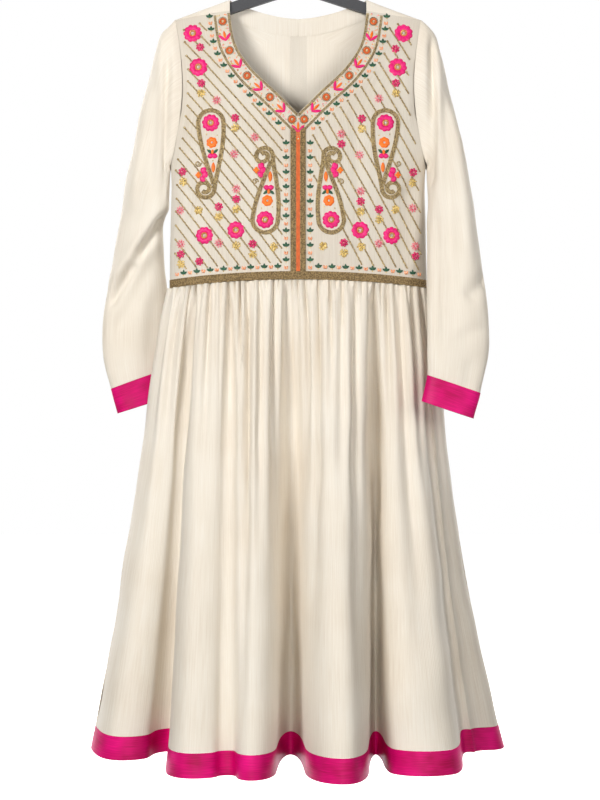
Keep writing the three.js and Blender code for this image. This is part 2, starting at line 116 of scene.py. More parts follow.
SLEEVE_COLUMNS = "name outer_x outer_z under_x under_z y deep hollow"
SLEEVE_LEFT = table(
    SLEEVE_COLUMNS,
    ("cap", -206, -159, -206, -390, 0, 28, 10),
    ("cap turn", -219, -172, -206, -395, 1, 29, 5),
    ("cap side", -228, -197, -206, -401, 3, 30, 1),
    ("upper arm", -239, -235, -206, -414, 7, 31, 0),
    ("arm", -251, -281, -206, -431, 12, 31, 0),
    ("above elbow", -264, -345, -207, -449, 20, 30, 0),
    ("elbow top", -276, -396, -214, -463, 28, 29, 0),
    ("elbow", -285, -448, -219, -482, 38, 27, 0),
    ("below elbow", -300, -527, -217, -536, 50, 25, 0),
    ("forearm", -312, -585, -213, -582, 58, 22, 0),
    ("widest", -320, -640, -213, -630, 63, 20, 0),
    ("wrist", -318, -690, -217, -668, 65, 17, 0),
    ("cuff top", -306, -738, -220, -707, 66, 15, 0),
    ("cuff end", -295, -778, -209, -750, 66, 15, 0))
SLEEVE_RIGHT = table(
    SLEEVE_COLUMNS,
    ("cap", 208, -159, 206, -390, 0, 28, 10),
    ("cap turn", 221, -176, 206, -395, -1, 29, 5),
    ("cap side", 228, -206, 206, -402, -3, 30, 1),
    ("upper arm", 238, -250, 206, -414, -7, 31, 0),
    ("arm", 249, -294, 206, -431, -12, 31, 0),
    ("above elbow", 258, -346, 206, -452, -20, 30, 0),
    ("elbow top", 268, -402, 205, -477, -28, 29, 0),
    ("elbow", 278, -457, 204, -508, -38, 27, 0),
    ("below elbow", 288, -534, 203, -559, -50, 25, 0),
    ("forearm", 294, -585, 202, -599, -58, 22, 0),
    ("widest", 298, -634, 202, -638, -63, 20, 0),
    ("wrist", 296, -690, 202, -678, -65, 17, 0),
    ("cuff top", 285, -745, 202, -717, -66, 15, 0),
    ("cuff end", 274, -785, 194, -758, -66, 15, 0))

# a row per skirt fold: the stretch of the waist it is gathered into, then at the hem its first
# edge, crest and last edge in x and in y, and the recess after it
FOLD_COLUMNS = "name waist_from waist_to x_first x_crest x_last y_first y_crest y_last x_recess y_recess"
FRONT_FOLDS = table(
    FOLD_COLUMNS,
    ("left side", -206, -172, -341, -292, -240, 95, 18, 36, -206, 62),
    ("left", -162, -118, -210, -170, -128, -15, -80, -62, -108, -52),
    ("left middle", -100, -26, -96, -71, -33, -70, -98, -32, -12, 50),
    ("right middle", 8, 112, 10, 72, 113, -38, -128, -34, 126, 50),
    ("right", 128, 188, 138, 198, 264, -16, -64, -12, 274, 58),
    ("right side", 197, 206, 288, 314, 341, 56, 72, 104, None, None))
BACK_FOLDS = table(
    FOLD_COLUMNS,
    ("right side", 206, 150, 341, 290, 245, 104, 138, 116, 226, 80),
    ("right", 138, 84, 214, 174, 136, 112, 148, 118, 118, 76),
    ("right middle", 72, 18, 107, 62, 24, 112, 146, 114, 8, 74),
    ("left middle", 6, -52, -3, -48, -92, 112, 150, 116, -108, 78),
    ("left", -64, -122, -119, -168, -212, 114, 146, 116, -230, 80),
    ("left side", -134, -206, -242, -288, -341, 112, 134, 95, None, None))
FLARE_SHARE, FLARE_REACH = 0.1, 0.08
HEM_RISE_FROM, HEM_RISE_OVER = -40, 100
HOLLOW_LEFT, HOLLOW_RIGHT, HOLLOW_ROUND = 0.035, 0.14, 3

# ---- the body's form ----
body_side = curve(BODY, "z", "side")
body_depth = curve(BODY, "z", "depth")
neck_half = curve(NECK_EDGE, "z", "half")


def ridge_z(x):
    return NECK_Z - SHOULDER_SLOPE * (np.abs(x) - NECK_HALF)


def waist_z(x):
    return WAIST_Z + WAIST_ARCH * (1 - (x / WAIST_HALF) ** 2)


TIP_Z = ridge_z(TIP_HALF)


def half_depth(x, z):
    """Half the body's depth at a place on its front."""
    across = np.minimum(1, np.abs(x) / body_side(z))
    chest = body_depth(z) * np.sqrt(1 - across ** SQUARENESS)
    drop = np.maximum(0, ridge_z(x) - z)
    near = np.sqrt(np.maximum(0, drop * (2 * RIDGE_RADIUS - drop)))
    far = RIDGE_RADIUS + RIDGE_SPREAD * (drop - RIDGE_RADIUS)
    shoulder = np.where(drop < RIDGE_RADIUS, near, far)
    return chest * shoulder / np.cbrt(chest ** 3 + shoulder ** 3 + 1e-9)


def on_body(x, z, side):
    """Points on the front (side -1) or the back (side 1)."""
    x, z = np.broadcast_arrays(np.asarray(x, float), np.asarray(z, float))
    return np.stack([x, side * half_depth(x, z), z], -1)


def over_ridge(x, arc):
    """Places that many mm over the shoulder ridge, on the front."""
    turn = np.minimum(arc / RIDGE_RADIUS, math.pi / 2)
    fall = np.maximum(0, arc - RIDGE_RADIUS * math.pi / 2)
    return on_body(x, ridge_z(x) - RIDGE_RADIUS * (1 - np.cos(turn)) - fall, -1)


ARMHOLE_STEPS, WAIST_STEP, SEAM_STEP = 10, 14, 0.5
NECK_STEPS, BACK_NECK_STEPS = 6, 5


def armhole_z(step):
    return lerp(TIP_Z, ARMPIT_Z, (1 - np.cos(math.pi * step / ARMHOLE_STEPS)) / 2)


def armhole_half(z):
    f = np.clip((z - TIP_Z) / (ARMPIT_Z - TIP_Z), 0, 1)
    return lerp(TIP_HALF, body_side(ARMPIT_Z), f) - ARMHOLE_HOLLOW * np.sin(math.pi * f)


def share_of(step, start, end):
    return np.clip((step - start) / (end - start), 0, 1)


def row_outer(step):
    """The outer ends of a panel's rows, down the armhole and the side seam: x and z."""
    z_armhole = armhole_z(np.minimum(step, ARMHOLE_STEPS))
    z_side = lerp(ARMPIT_Z, WAIST_Z, share_of(step, ARMHOLE_STEPS, WAIST_STEP))
    beside = step <= ARMHOLE_STEPS
    return (np.where(beside, armhole_half(z_armhole), body_side(z_side)), np.where(beside, z_armhole, z_side))


def middle_z(step, top, top_step):
    """Heights down the middle of a panel, from its neck to the waist."""
    upper = lerp(top, ARMPIT_Z, share_of(step, top_step, ARMHOLE_STEPS))
    lower = lerp(ARMPIT_Z, WAIST_Z + WAIST_ARCH, share_of(step, ARMHOLE_STEPS, WAIST_STEP))
    return np.where(step <= ARMHOLE_STEPS, upper, lower)


def front_inner(step):
    z_neck = lerp(NECK_SHOULDER_Z, NECK_POINT_Z, share_of(step, 0, NECK_STEPS))
    beside = step <= NECK_STEPS
    return (np.where(beside, neck_half(z_neck), 0),
            np.where(beside, z_neck, middle_z(step, NECK_POINT_Z, NECK_STEPS)))


def back_neck_z(x):
    return BACK_NECK_Z + (NECK_Z - BACK_NECK_Z) * (np.abs(x) / NECK_HALF) ** 1.8


def back_inner(step):
    x = NECK_HALF * np.cos(math.pi / 2 * share_of(step, 0, BACK_NECK_STEPS))
    beside = step <= BACK_NECK_STEPS
    return (np.where(beside, x, 0),
            np.where(beside, back_neck_z(x), middle_z(step, BACK_NECK_Z, BACK_NECK_STEPS)))


def spread(u):
    """Share of a row's length at a column: even steps of angle round the side."""
    return np.sin(math.pi / 2 * u) ** (2 / SQUARENESS)


seam_end_x, seam_end_z = row_outer(np.array(SEAM_STEP))
SEAM_END_ARC = RIDGE_RADIUS * math.acos(1 - (ridge_z(seam_end_x) - seam_end_z) / RIDGE_RADIUS)


def shoulder_rows(part, share):
    """Rows over the shoulder, from the ridge at 0 to the shoulder seam at 1."""
    x = lerp(NECK_HALF, lerp(TIP_HALF, seam_end_x, part), share)
    arc = lerp(SEAM_FORWARD, SEAM_END_ARC, (x - NECK_HALF) / (seam_end_x - NECK_HALF)) * part
    return over_ridge(x, arc)


def rows_at(step, share, inner, side):
    """Rows of half a panel for an array of steps (a column) and shares (a row)."""
    (x_in, z_in), (x_out, z_out) = inner(step), row_outer(step)
    x, z = lerp(x_in, x_out, share), lerp(z_in, z_out, share)
    settle = share_of(step, WAIST_STEP - 1, WAIST_STEP) ** 2
    return on_body(x, lerp(z, waist_z(x), settle), side)


def half_panel(side, columns, rows):
    """Half of the front or back bodice, from the middle out, rows going down."""
    share = spread(np.linspace(0, 1, columns + 1))[None, :]
    if side < 0:
        step = np.linspace(1, WAIST_STEP, rows + 1)[:, None]
        panel = rows_at(step, share, front_inner, -1)
        top = shoulder_rows(np.array([[1.0]]), share)
        f = np.linspace(0, 1, 5)[:-1, None]
        first = on_body(lerp(top[:, :, 0], panel[:1, :, 0], f), lerp(top[:, :, 2], panel[:1, :, 2], f), -1)
        return np.concatenate([first, panel])
    part = np.linspace(1, 0, 11)[:-1, None]
    step = np.concatenate([np.linspace(0, 1, 9)[:-1], np.linspace(1, WAIST_STEP, rows + 1)])[:, None]
    return np.concatenate([shoulder_rows(part, share), rows_at(step, share, back_inner, 1)])


# ---- grids of points, and the meshes made from them ----
def normals_of(grid, closed=False):
    """Unit normals of a grid whose rows go down and columns go right, seen from outside."""
    wide = np.concatenate([grid[:, -2:-1], grid, grid[:, 1:2]], 1) if closed else grid
    across = np.gradient(wide, axis=1)
    across = across[:, 1:-1] if closed else across
    down = np.gradient(grid, axis=0)
    normal = np.cross(down, across)
    normal[np.abs(grid[..., 0]) < 1e-6, 0] = 0  # both halves agree on the centre line
    return normal / np.maximum(np.linalg.norm(normal, axis=-1, keepdims=True), 1e-9)


def grain_of(grid):
    """Places along the cloth's threads, in metres: across and down."""
    across = np.linalg.norm(np.diff(grid, axis=1), axis=-1).mean(0)
    down = np.linalg.norm(np.diff(grid, axis=0), axis=-1).mean(1)
    a = np.concatenate([[0], np.cumsum(across)]) * MM
    if abs(grid[0, -1, 0]) < 1e-6:
        a -= a[-1]  # both halves count from the centre line
    d = np.concatenate([[0], np.cumsum(down)]) * MM
    return np.stack(np.broadcast_arrays(a[None, :], d[:, None]), -1)


def grid_faces(rows, columns, start=0):
    i = start + np.arange(rows * columns).reshape(rows, columns)
    return np.stack([i[:-1, :-1], i[1:, :-1], i[1:, 1:], i[:-1, 1:]], -1).reshape(-1, 4)


def make_mesh(name, points, quads, material, grain=None, smooth=True):
    mesh = bpy.data.meshes.new(name)
    faces = [tuple(face) if face[2] != face[3] else tuple(face[:3]) for face in quads.tolist()]
    mesh.from_pydata((np.asarray(points) * MM).tolist(), [], faces)
    mesh.polygons.foreach_set("use_smooth", [smooth] * len(mesh.polygons))
    if grain is not None:
        layer = mesh.attributes.new("grain", "FLOAT_VECTOR", "POINT")
        flat = np.zeros((len(points), 3))
        flat[:, :2] = grain
        layer.data.foreach_set("vector", flat.ravel())
    mesh.materials.append(material)
    mesh.validate()
    piece = bpy.data.objects.new(name, mesh)
    bpy.context.scene.collection.objects.link(piece)
    return piece


def shell(name, grids, material, closed=False, thick=CLOTH, lift=0.0):
    """Cloth: each grid gets an outer and an inner face and a rim; touching grids are welded."""
    points, faces, grains = [], [], []
    count = 0
    for grid in grids:
        normal = normals_of(grid, closed)
        rows, columns = grid.shape[:2]
        outer, inner = grid + normal * lift, grid + normal * (lift - thick)
        size = rows * columns
        points += [outer.reshape(-1, 3), inner.reshape(-1, 3)]
        grains += [grain_of(grid).reshape(-1, 2)] * 2
        front = grid_faces(rows, columns, count)
        back = grid_faces(rows, columns, count + size)[:, ::-1]
        i = count + np.arange(size).reshape(rows, columns)
        loops = [i[0, ::-1], i[-1, :]] + ([] if closed else [i[:, 0], i[::-1, -1]])
        x = grid[..., 0].ravel()
        on_centre = [np.abs(x[e - count]) < 1e-6 for e in loops]
        rims = [np.stack([e[1:], e[:-1], e[:-1] + size, e[1:] + size], -1)[~(c[1:] & c[:-1])]
                for e, c in zip(loops, on_centre)]
        faces += [front, back, *rims]
        count += 2 * size
    piece = make_mesh(name, np.concatenate(points), np.concatenate(faces), material, np.concatenate(grains))
    weld = piece.modifiers.new("weld", "WELD")
    weld.merge_threshold = 2e-5
    apply_modifiers(piece)
    piece.data.set_sharp_from_angle(angle=math.radians(55))
    return piece


def belongs(piece, slot, node=None, **sheet):
    """Attaches a piece to the root body and hides the CAD node it stands for. The slot and the sheet it was cut
    from are not used.
    """
    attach(piece, "root")
    if node:
        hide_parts(node)


def apply_modifiers(piece):
    graph = bpy.context.evaluated_depsgraph_get()
    piece.data = bpy.data.meshes.new_from_object(piece.evaluated_get(graph))
    piece.modifiers.clear()


def crease_depth(row, x, z):
    """How far one crease presses in at a place seen from the front."""
    start = np.array([row["x0"], row["z0"]], float)
    along = np.array([row["x1"], row["z1"]], float) - start
    place = np.stack([x, z], -1) - start
    f = place @ along / (along @ along)
    gap = np.linalg.norm(place - np.clip(f, 0, 1)[..., None] * along, axis=-1)
    ends = np.clip(np.minimum(f, 1 - f) * 4 + 0.35, 0, 1)
    return row["depth"] * np.exp(-(gap / row["width"]) ** 2) * ends ** 1.5


def creased(grid, rows, closed=False):
    """Presses soft troughs (or, with a negative depth, ridges) along straight lines seen from the front.

    side says which face of the piece they are on: -1 the front, 1 the back, 0 both."""
    normal = normals_of(grid, closed)
    push = np.zeros(grid.shape[:2])
    for row in rows_of(rows):
        facing = 1 if row["side"] == 0 else np.clip(normal[..., 1] * row["side"] * 3, 0, 1)
        push += crease_depth(row, grid[..., 0], grid[..., 2]) * facing
    return grid - normal * push[..., None]


def waves(places, length, seed):
    """Smooth unevenness between about -1 and 1 over 2-D or 3-D places, in waves of about that length."""
    draw = np.random.default_rng(seed)
    total = np.zeros(places.shape[:-1])
    for _ in range(9):
        way = draw.normal(size=places.shape[-1])
        way *= 2 * math.pi / (length * draw.uniform(0.7, 1.6) * np.linalg.norm(way))
        total += np.sin(places @ way + draw.uniform(0, 2 * math.pi))
    return total / 4.5


# ---- materials ----
class Nodes:
    """A node tree, wired by short calls."""

    def __init__(self, name):
        self.material = bpy.data.materials.new(name)
        self.material.use_nodes = True
        self.tree = self.material.node_tree
        self.shader = self.tree.nodes["Principled BSDF"]

    def add(self, kind, inputs=None, **settings):
        node = self.tree.nodes.new(kind)
        for key, value in settings.items():
            setattr(node, key, value)
        for key, value in (inputs or {}).items():
            self.put(node.inputs[key], value)
        return node

    def put(self, socket, value):
        if isinstance(value, bpy.types.NodeSocket):
            self.tree.links.new(value, socket)
        else:
            socket.default_value = value

    def math(self, operation, a, b=0.0):
        return self.add("ShaderNodeMath", {0: a, 1: b}, operation=operation).outputs[0]

    def noise(self, vector, scale, detail=2.0):
        inputs = {"Vector": vector, "Scale": scale, "Detail": detail}
        return self.add("ShaderNodeTexNoise", inputs).outputs["Fac"]

    def stretched(self, vector, scale):
        return self.add("ShaderNodeMapping", {"Vector": vector, "Scale": scale}).outputs[0]

    def colours(self, factor, *stops):
        ramp = self.add("ShaderNodeValToRGB", {"Fac": factor})
        while len(ramp.color_ramp.elements) < len(stops):
            ramp.color_ramp.elements.new(1.0)
        for element, (place, colour) in zip(ramp.color_ramp.elements, stops):
            element.position = place
            element.color = (*colour, 1)
        return ramp.outputs["Color"]

    def bump(self, height, distance, strength=1.0, under=None):
        inputs = {"Height": height, "Distance": distance, "Strength": strength}
        if under is not None:
            inputs["Normal"] = under
        return self.add("ShaderNodeBump", inputs).outputs["Normal"]

    def finish(self, **sockets):
        for name, value in sockets.items():
            self.put(self.shader.inputs[name.replace("_", " ")], value)
        return self.material


def ivory_cloth(name, shade=1.0):
    """Cotton silk with fine ribs down the grain and a few thicker threads."""
    n = Nodes(name)
    grain = n.add("ShaderNodeAttribute", attribute_name="grain").outputs["Vector"]
    place = n.add("ShaderNodeTexCoord").outputs["Object"]
    slub = n.noise(n.stretched(grain, (620, 14, 1)), 1.0, 3.0)
    fine = n.noise(n.stretched(grain, (1500, 260, 1)), 1.0, 1.0)
    cloud = n.noise(place, 7.0, 2.0)
    across = n.add("ShaderNodeSeparateXYZ", {0: grain}).outputs[0]
    rib = n.math("SINE", n.math("MULTIPLY", across, 2 * math.pi / 0.0021))
    tone = n.math("ADD", n.math("MULTIPLY", slub, 0.5), n.math("MULTIPLY", cloud, 0.5))
    stops = ((0.3, (0.69, 0.60, 0.485)), (0.5, (0.765, 0.69, 0.58)), (0.72, (0.82, 0.765, 0.67)))
    colour = n.colours(tone, *((place, tuple(shade * level for level in stop)) for place, stop in stops))
    height = n.math("ADD", n.math("MULTIPLY", rib, 0.3), n.math("ADD", slub, n.math("MULTIPLY", fine, 0.5)))
    return n.finish(
        Base_Color=colour, Roughness=0.72, Normal=n.bump(height, 0.0004, 0.55),
        Sheen_Weight=0.25, Sheen_Roughness=0.45, Specular_IOR_Level=0.3)


def pink_satin():
    n = Nodes("pink_satin")
    grain = n.add("ShaderNodeAttribute", attribute_name="grain").outputs["Vector"]
    streak = n.noise(n.stretched(grain, (30, 900, 1)), 1.0, 2.0)
    cloud = n.noise(grain, 18.0, 2.0)
    # the streaks and clouds run the colour from dark to bright pink: painted sheen and painted shade standing
    # in for the satin's highlights, over its own pink
    tone = n.math("ADD", n.math("MULTIPLY", streak, 0.35), n.math("MULTIPLY", cloud, 0.65))
    stops = (0.34, (0.38, 0.0005, 0.06)), (0.52, (0.65, 0.001, 0.148)), (0.7, (0.88, 0.005, 0.235))
    colour = n.colours(tone, *stops)
    return n.finish(
        Base_Color=colour, Roughness=0.42, Normal=n.bump(streak, 0.0002, 0.5), Specular_IOR_Level=0.12)


def hanger_black():
    n = Nodes("hanger_black")
    place = n.add("ShaderNodeTexCoord").outputs["Object"]
    speck = n.noise(place, 900.0, 2.0)
    colour = n.colours(speck, (0.35, (0.012, 0.012, 0.014)), (0.7, (0.03, 0.03, 0.033)))
    return n.finish(Base_Color=colour, Roughness=0.5, Normal=n.bump(speck, 0.0002, 0.4))


IVORY = ivory_cloth("ivory_cloth")
IVORY_GROUND = ivory_cloth("ivory_ground", 0.84)  # the same cloth in a darker colour, for the front bodice
SATIN = pink_satin()
BLACK = hanger_black()

# ---- camera and light ----
CAMERA_DISTANCE = 3.0
FRAME_HEIGHT = 1.28
SENSOR = 36.0
camera_data = bpy.data.cameras.new("camera")
camera_data.sensor_width = SENSOR
camera_data.lens = SENSOR * CAMERA_DISTANCE / FRAME_HEIGHT
camera = bpy.data.objects.new("camera", camera_data)
camera.location = (0.003, -CAMERA_DISTANCE, -0.756)
camera.rotation_euler = (math.pi / 2, 0, 0)
bpy.context.scene.collection.objects.link(camera)
bpy.context.scene.camera = camera


def area_light(name, place, size, power):
    data = bpy.data.lights.new(name, "AREA")
    data.size = size
    data.energy = power
    light = bpy.data.objects.new(name, data)
    light.location = place
    aim = np.array([0, 0, -0.7]) - np.array(place)
    light.rotation_euler = Vector(aim).to_track_quat("-Z", "Y").to_euler()
    bpy.context.scene.collection.objects.link(light)


for name, place, size, power in (
        ("key", (-1.9, -2.6, 0.35), 1.0, 95),
        ("fill", (2.1, -2.7, -0.05), 1.4, 46),
        ("low", (0.1, -3.2, -1.6), 1.6, 44),
        ("top", (0.2, 0.3, 1.5), 1.2, 14),
        ("behind_left", (-1.8, 2.0, 0.2), 1.5, 62),
        ("behind_right", (1.8, 2.0, 0.0), 1.5, 48)):
    area_light(name, place, size, power)

world = bpy.data.worlds.new("studio")
world.use_nodes = True
world.node_tree.nodes["Background"].inputs["Color"].default_value = (1, 1, 1, 1)
bpy.context.scene.world = world
world.node_tree.nodes["Background"].inputs["Strength"].default_value = 1.0
world.cycles_visibility.diffuse = False
bpy.context.scene.view_settings.view_transform = "Standard"

FLOOR_Z = -1.62
floor_nodes = Nodes("floor")
floor_nodes.finish(
    Base_Color=(0.9, 0.9, 0.9, 1), Roughness=0.9, Emission_Color=(1, 1, 1, 1), Emission_Strength=1.0)
corners = [(-9, -9, FLOOR_Z), (9, -9, FLOOR_Z), (9, 9, FLOOR_Z), (-9, 9, FLOOR_Z)]
floor = make_mesh("floor", np.array(corners) / MM, np.array([(0, 1, 2, 3)]), floor_nodes.material)
floor.visible_diffuse = False


# ---- bodice ----
CREASES = "x0 z0 x1 z1 width depth side"
FRONT_CREASES = table(
    CREASES,
    (92, -290, 97, -552, 9, 3.0, -1),
    (-188, -400, -160, -450, 14, 2.5, -1),
    (190, -400, 165, -450, 14, 2.5, -1),
    (170, -540, 180, -400, 12, 1.6, -1),
    (-60, -550, -52, -470, 16, 1.2, -1),
    (-184, -200, -188, -320, 9, 3.0, -1),
    (186, -205, 190, -320, 9, 3.0, -1))
BACK_CREASES = table(
    CREASES,
    (-60, -250, -66, -555, 12, 3.5, 1),
    (20, -300, 26, -560, 14, 3.0, 1),
    (88, -230, 92, -555, 11, 3.5, 1),
    (-190, -320, -120, -420, 18, 3.0, 1),
    (190, -320, 130, -430, 18, 3.0, 1),
    (-150, -200, -168, -360, 15, 2.5, 1),
    (150, -200, 168, -360, 15, 2.5, 1),
    (-130, -560, -120, -440, 14, 2.0, 1),
    (140, -560, 150, -450, 12, 2.0, 1))


def front_push(x, z):
    """How far the front bodice is pressed in from its form at a place."""
    push = sum(crease_depth(row, x, z) for row in rows_of(FRONT_CREASES))
    return push - 0.7 * waves(np.stack([x, z], -1), 110, 3)


def uneven(grid, height, length, seed, closed=False):
    bump = waves(grid, length, seed) * height
    return grid + normals_of(grid, closed) * bump[..., None]


def mirrored(grid):
    """The other half: -X, with its columns kept running right seen from outside."""
    return (grid * (-1, 1, 1))[:, ::-1]


def bodice(side, creases):
    half = half_panel(side, 46, 120)
    halves = [half, mirrored(half)] if side < 0 else [half[:, ::-1], mirrored(half[:, ::-1])]
    if side < 0:
        pushes = [front_push(grid[..., 0], grid[..., 2])[..., None] for grid in halves]
        return [grid - normals_of(grid) * push for grid, push in zip(halves, pushes)]
    return [uneven(creased(grid, creases), 0.7, 110, 3) for grid in halves]


front = shell("front_bodice_cloth", bodice(-1, FRONT_CREASES), IVORY_GROUND)
belongs(front, "ivory_cloth", "front_bodice", flat=(0.5, 0.47), area=0.18, held="hung")
back = shell("back_bodice_cloth", bodice(1, BACK_CREASES), IVORY)
belongs(back, "ivory_cloth", "back_bodice", flat=(0.5, 0.5), area=0.21, held="hung")


# ---- back neck facing ----
def facing(side):
    x = np.linspace(0.3, 107.5, 60)[None, :] * side
    down = np.linspace(0, 1, 8)[:, None] * FACING_DEPTH
    grid = on_body(x, back_neck_z(x) - 0.6 - down, 1)
    return grid if side < 0 else grid[:, ::-1]


for name, side in (("left", -1), ("right", 1)):
    piece = shell("neck_facing_%s_cloth" % name, [facing(side)], IVORY, thick=0.7, lift=-CLOTH - 0.35)
    belongs(piece, "ivory_cloth", "neck_facing_%s" % name, flat=(0.1, 0.03), held="hung")

# ---- sleeves and cuffs ----
LEFT_SLEEVE_CREASES = table(
    CREASES,
    (-214, -460, -262, -530, 8, 12.0, -1),
    (-262, -530, -308, -606, 8, 10.0, -1),
    (-216, -440, -304, -572, 11, -7.0, -1),
    (-222, -510, -300, -650, 14, 5.0, -1),
    (-225, -230, -238, -440, 13, 6.0, -1),
    (-208, -190, -214, -440, 8, 8.0, -1),
    (-246, -330, -266, -460, 11, -4.0, -1),
    (-290, -620, -296, -720, 12, 2.5, -1),
    (-235, -580, -240, -700, 12, 2.5, -1),
    (-280, -450, -222, -480, 14, 4.0, 1),
    (-290, -520, -225, -560, 14, 3.5, 1),
    (-235, -220, -250, -420, 14, 3.0, 1),
    (-260, -600, -262, -720, 12, 2.5, 1))
RIGHT_SLEEVE_CREASES = table(
    CREASES,
    (214, -175, 212, -330, 7, 10.0, -1),
    (212, -320, 208, -420, 7, 8.0, -1),
    (234, -230, 238, -640, 12, 7.0, -1),
    (254, -300, 268, -560, 13, -5.0, -1),
    (216, -430, 216, -690, 8, 5.0, -1),
    (262, -600, 300, -560, 13, 5.0, -1),
    (250, -660, 298, -640, 12, 2.5, -1),
    (270, -690, 264, -740, 10, 2.0, -1),
    (280, -450, 215, -500, 14, 4.5, 1),
    (290, -520, 214, -575, 14, 3.5, 1),
    (232, -220, 244, -430, 14, 3.0, 1),
    (250, -610, 246, -730, 12, 2.5, 1))


def sleeve_loops(columns, side, turns):
    """Closed loops from the armhole down to the cuff's end, a row per section."""
    angles = turns if side < 0 else -turns
    step = np.abs(angles) / math.pi * ARMHOLE_STEPS
    z = armhole_z(step)
    x = armhole_half(z)
    armhole = np.stack([side * x, -np.sign(np.sin(angles)) * half_depth(x, z), z], -1)
    loops = [armhole]
    out = (1 + np.cos(angles)) / 2
    for row in rows_of(columns):
        hollow = row["hollow"] * np.sin(angles) ** 2
        loops.append(np.stack([
            lerp(row["under_x"], row["outer_x"], out) - side * hollow,
            row["y"] - row["deep"] * np.sin(angles),
            lerp(row["under_z"], row["outer_z"], out)], -1))
    return np.array(loops, float)


def between_loops(loops, places):
    """Smooth loops at places counted in sections from the armhole."""
    i = np.clip(np.floor(places).astype(int), 0, len(loops) - 2)
    f = (places - i)[:, None, None]
    slope = np.gradient(loops, axis=0)
    a, b, slope_a, slope_b = loops[i], loops[i + 1], slope[i], slope[i + 1]
    return (a * (1 + 2 * f) * (1 - f) ** 2 + b * f * f * (3 - 2 * f)
            + slope_a * f * (1 - f) ** 2 - slope_b * f * f * (1 - f))


CUFF_TOP, CUFF_END = 13, 14
SEAM = 0.3 / 45  # a gap of 0.3 mm, in sections
for name, side, columns, creases in (
        ("left", -1, SLEEVE_LEFT, LEFT_SLEEVE_CREASES), ("right", 1, SLEEVE_RIGHT, RIGHT_SLEEVE_CREASES)):
    turns = np.linspace(-math.pi, math.pi, 97)
    loops = sleeve_loops(columns, side, turns)
    whole = between_loops(loops, np.linspace(0.02, CUFF_TOP - SEAM, 150))
    whole = uneven(creased(whole, creases, True), 1.2, 90, 5, True)
    whole[:, -1] = whole[:, 0]
    sleeve = shell("sleeve_%s_cloth" % name, [whole], IVORY, closed=True)
    belongs(sleeve, "ivory_cloth", "sleeve_%s" % name, flat=(0.4, 0.6), area=0.125, held="hung")
    band = between_loops(loops, np.linspace(CUFF_TOP, CUFF_END, 14))
    band = uneven(band, 0.5, 40, 8, True)
    band[:, -1] = band[:, 0]
    cuff = shell("cuff_%s_cloth" % name, [band], SATIN, closed=True, lift=0.5, thick=1.6)
    belongs(cuff, "pink_satin", "cuff_%s" % name, flat=(0.2, 0.045), held="hung")


# ---- skirt ----
def fold_points(folds):
    """By turns an edge and a crest or recess: place on the waist, and x and y at the hem."""
    rows = rows_of(folds)
    points = []
    for row, after in zip(rows, rows[1:] + [None]):
        middle = (row["waist_from"] + row["waist_to"]) / 2
        points += [(row["waist_from"], row["x_first"], row["y_first"]),
                   (middle, row["x_crest"], row["y_crest"]),
                   (row["waist_to"], row["x_last"], row["y_last"])]
        if after:
            middle = (row["waist_to"] + after["waist_from"]) / 2
            points.append((middle, row["x_recess"], row["y_recess"]))
    return np.array(points, float)


ROUNDING = 11  # columns, out of 397


def fold_places(points, at):
    """The hem's plan: a quarter of an ellipse from each point to the next."""
    i = np.minimum(np.floor(at).astype(int), len(points) - 2)
    f = (at - i)[:, None]
    early, late = np.sin(f * math.pi / 2), 1 - np.cos(f * math.pi / 2)
    from_edge = (i % 2 == 0)[:, None]
    share = np.concatenate([f, np.where(from_edge, late, early), np.where(from_edge, early, late)], 1)
    places = points[i] + (points[i + 1] - points[i]) * share
    # a moving average rounds off the turns from one fold to the next
    reach = ROUNDING // 2
    before, after = 2 * places[:1] - places[reach:0:-1], 2 * places[-1:] - places[-2:-2 - reach:-1]
    padded = np.concatenate([before, places, after])
    return np.array([np.convolve(column, np.full(ROUNDING, 1 / ROUNDING), "valid") for column in padded.T])


BAND_TOP = 1 - HEM_BAND / (WAIST_Z - HEM_Z)


def skirt_grid(folds, side, heights, columns):
    points = fold_points(folds)
    waist, x, y = fold_places(points, np.linspace(0, len(points) - 1, columns))
    h = heights[:, None]
    quick = 1 - np.exp(-h / FLARE_REACH)
    wide = lerp(h, quick, FLARE_SHARE * (1 - h))
    lift = HEM_LIFT * np.clip((y - HEM_RISE_FROM) / HEM_RISE_OVER, 0, 1)
    hollow = np.where(waist < 0, HOLLOW_LEFT, HOLLOW_RIGHT) * np.abs(waist / WAIST_HALF) ** HOLLOW_ROUND
    top = side * half_depth(waist, waist_z(waist))
    across = lerp(waist, x, wide - hollow * np.sin(math.pi * h))
    return np.stack([across, lerp(top, y, wide), lerp(waist_z(waist) - 0.3, HEM_Z + lift, h)], -1), waist


def gathered(grid, waist, heights, count, seed):
    """Small gathers under the waist seam, rounded with narrow valleys, that run out at different heights."""
    draw = np.random.default_rng(seed)
    turn = (waist - waist[0]) / (waist[-1] - waist[0]) * count
    turn = turn + np.interp(turn, np.arange(count + 1), draw.uniform(-0.22, 0.22, count + 1))
    wave = 2 * np.abs(np.cos(math.pi * turn)) ** 0.8 - 1
    reach = np.interp(turn, np.arange(count + 1), draw.uniform(0.05, 0.2, count + 1))
    size = np.interp(turn, np.arange(count + 1), draw.uniform(2.6, 5.0, count + 1))
    h = heights[:, None]
    push = (wave * size)[None, :] * (0.55 + 0.45 * np.exp(-h / 0.02)) * np.exp(-h / reach[None, :])
    return grid + normals_of(grid) * push[..., None]


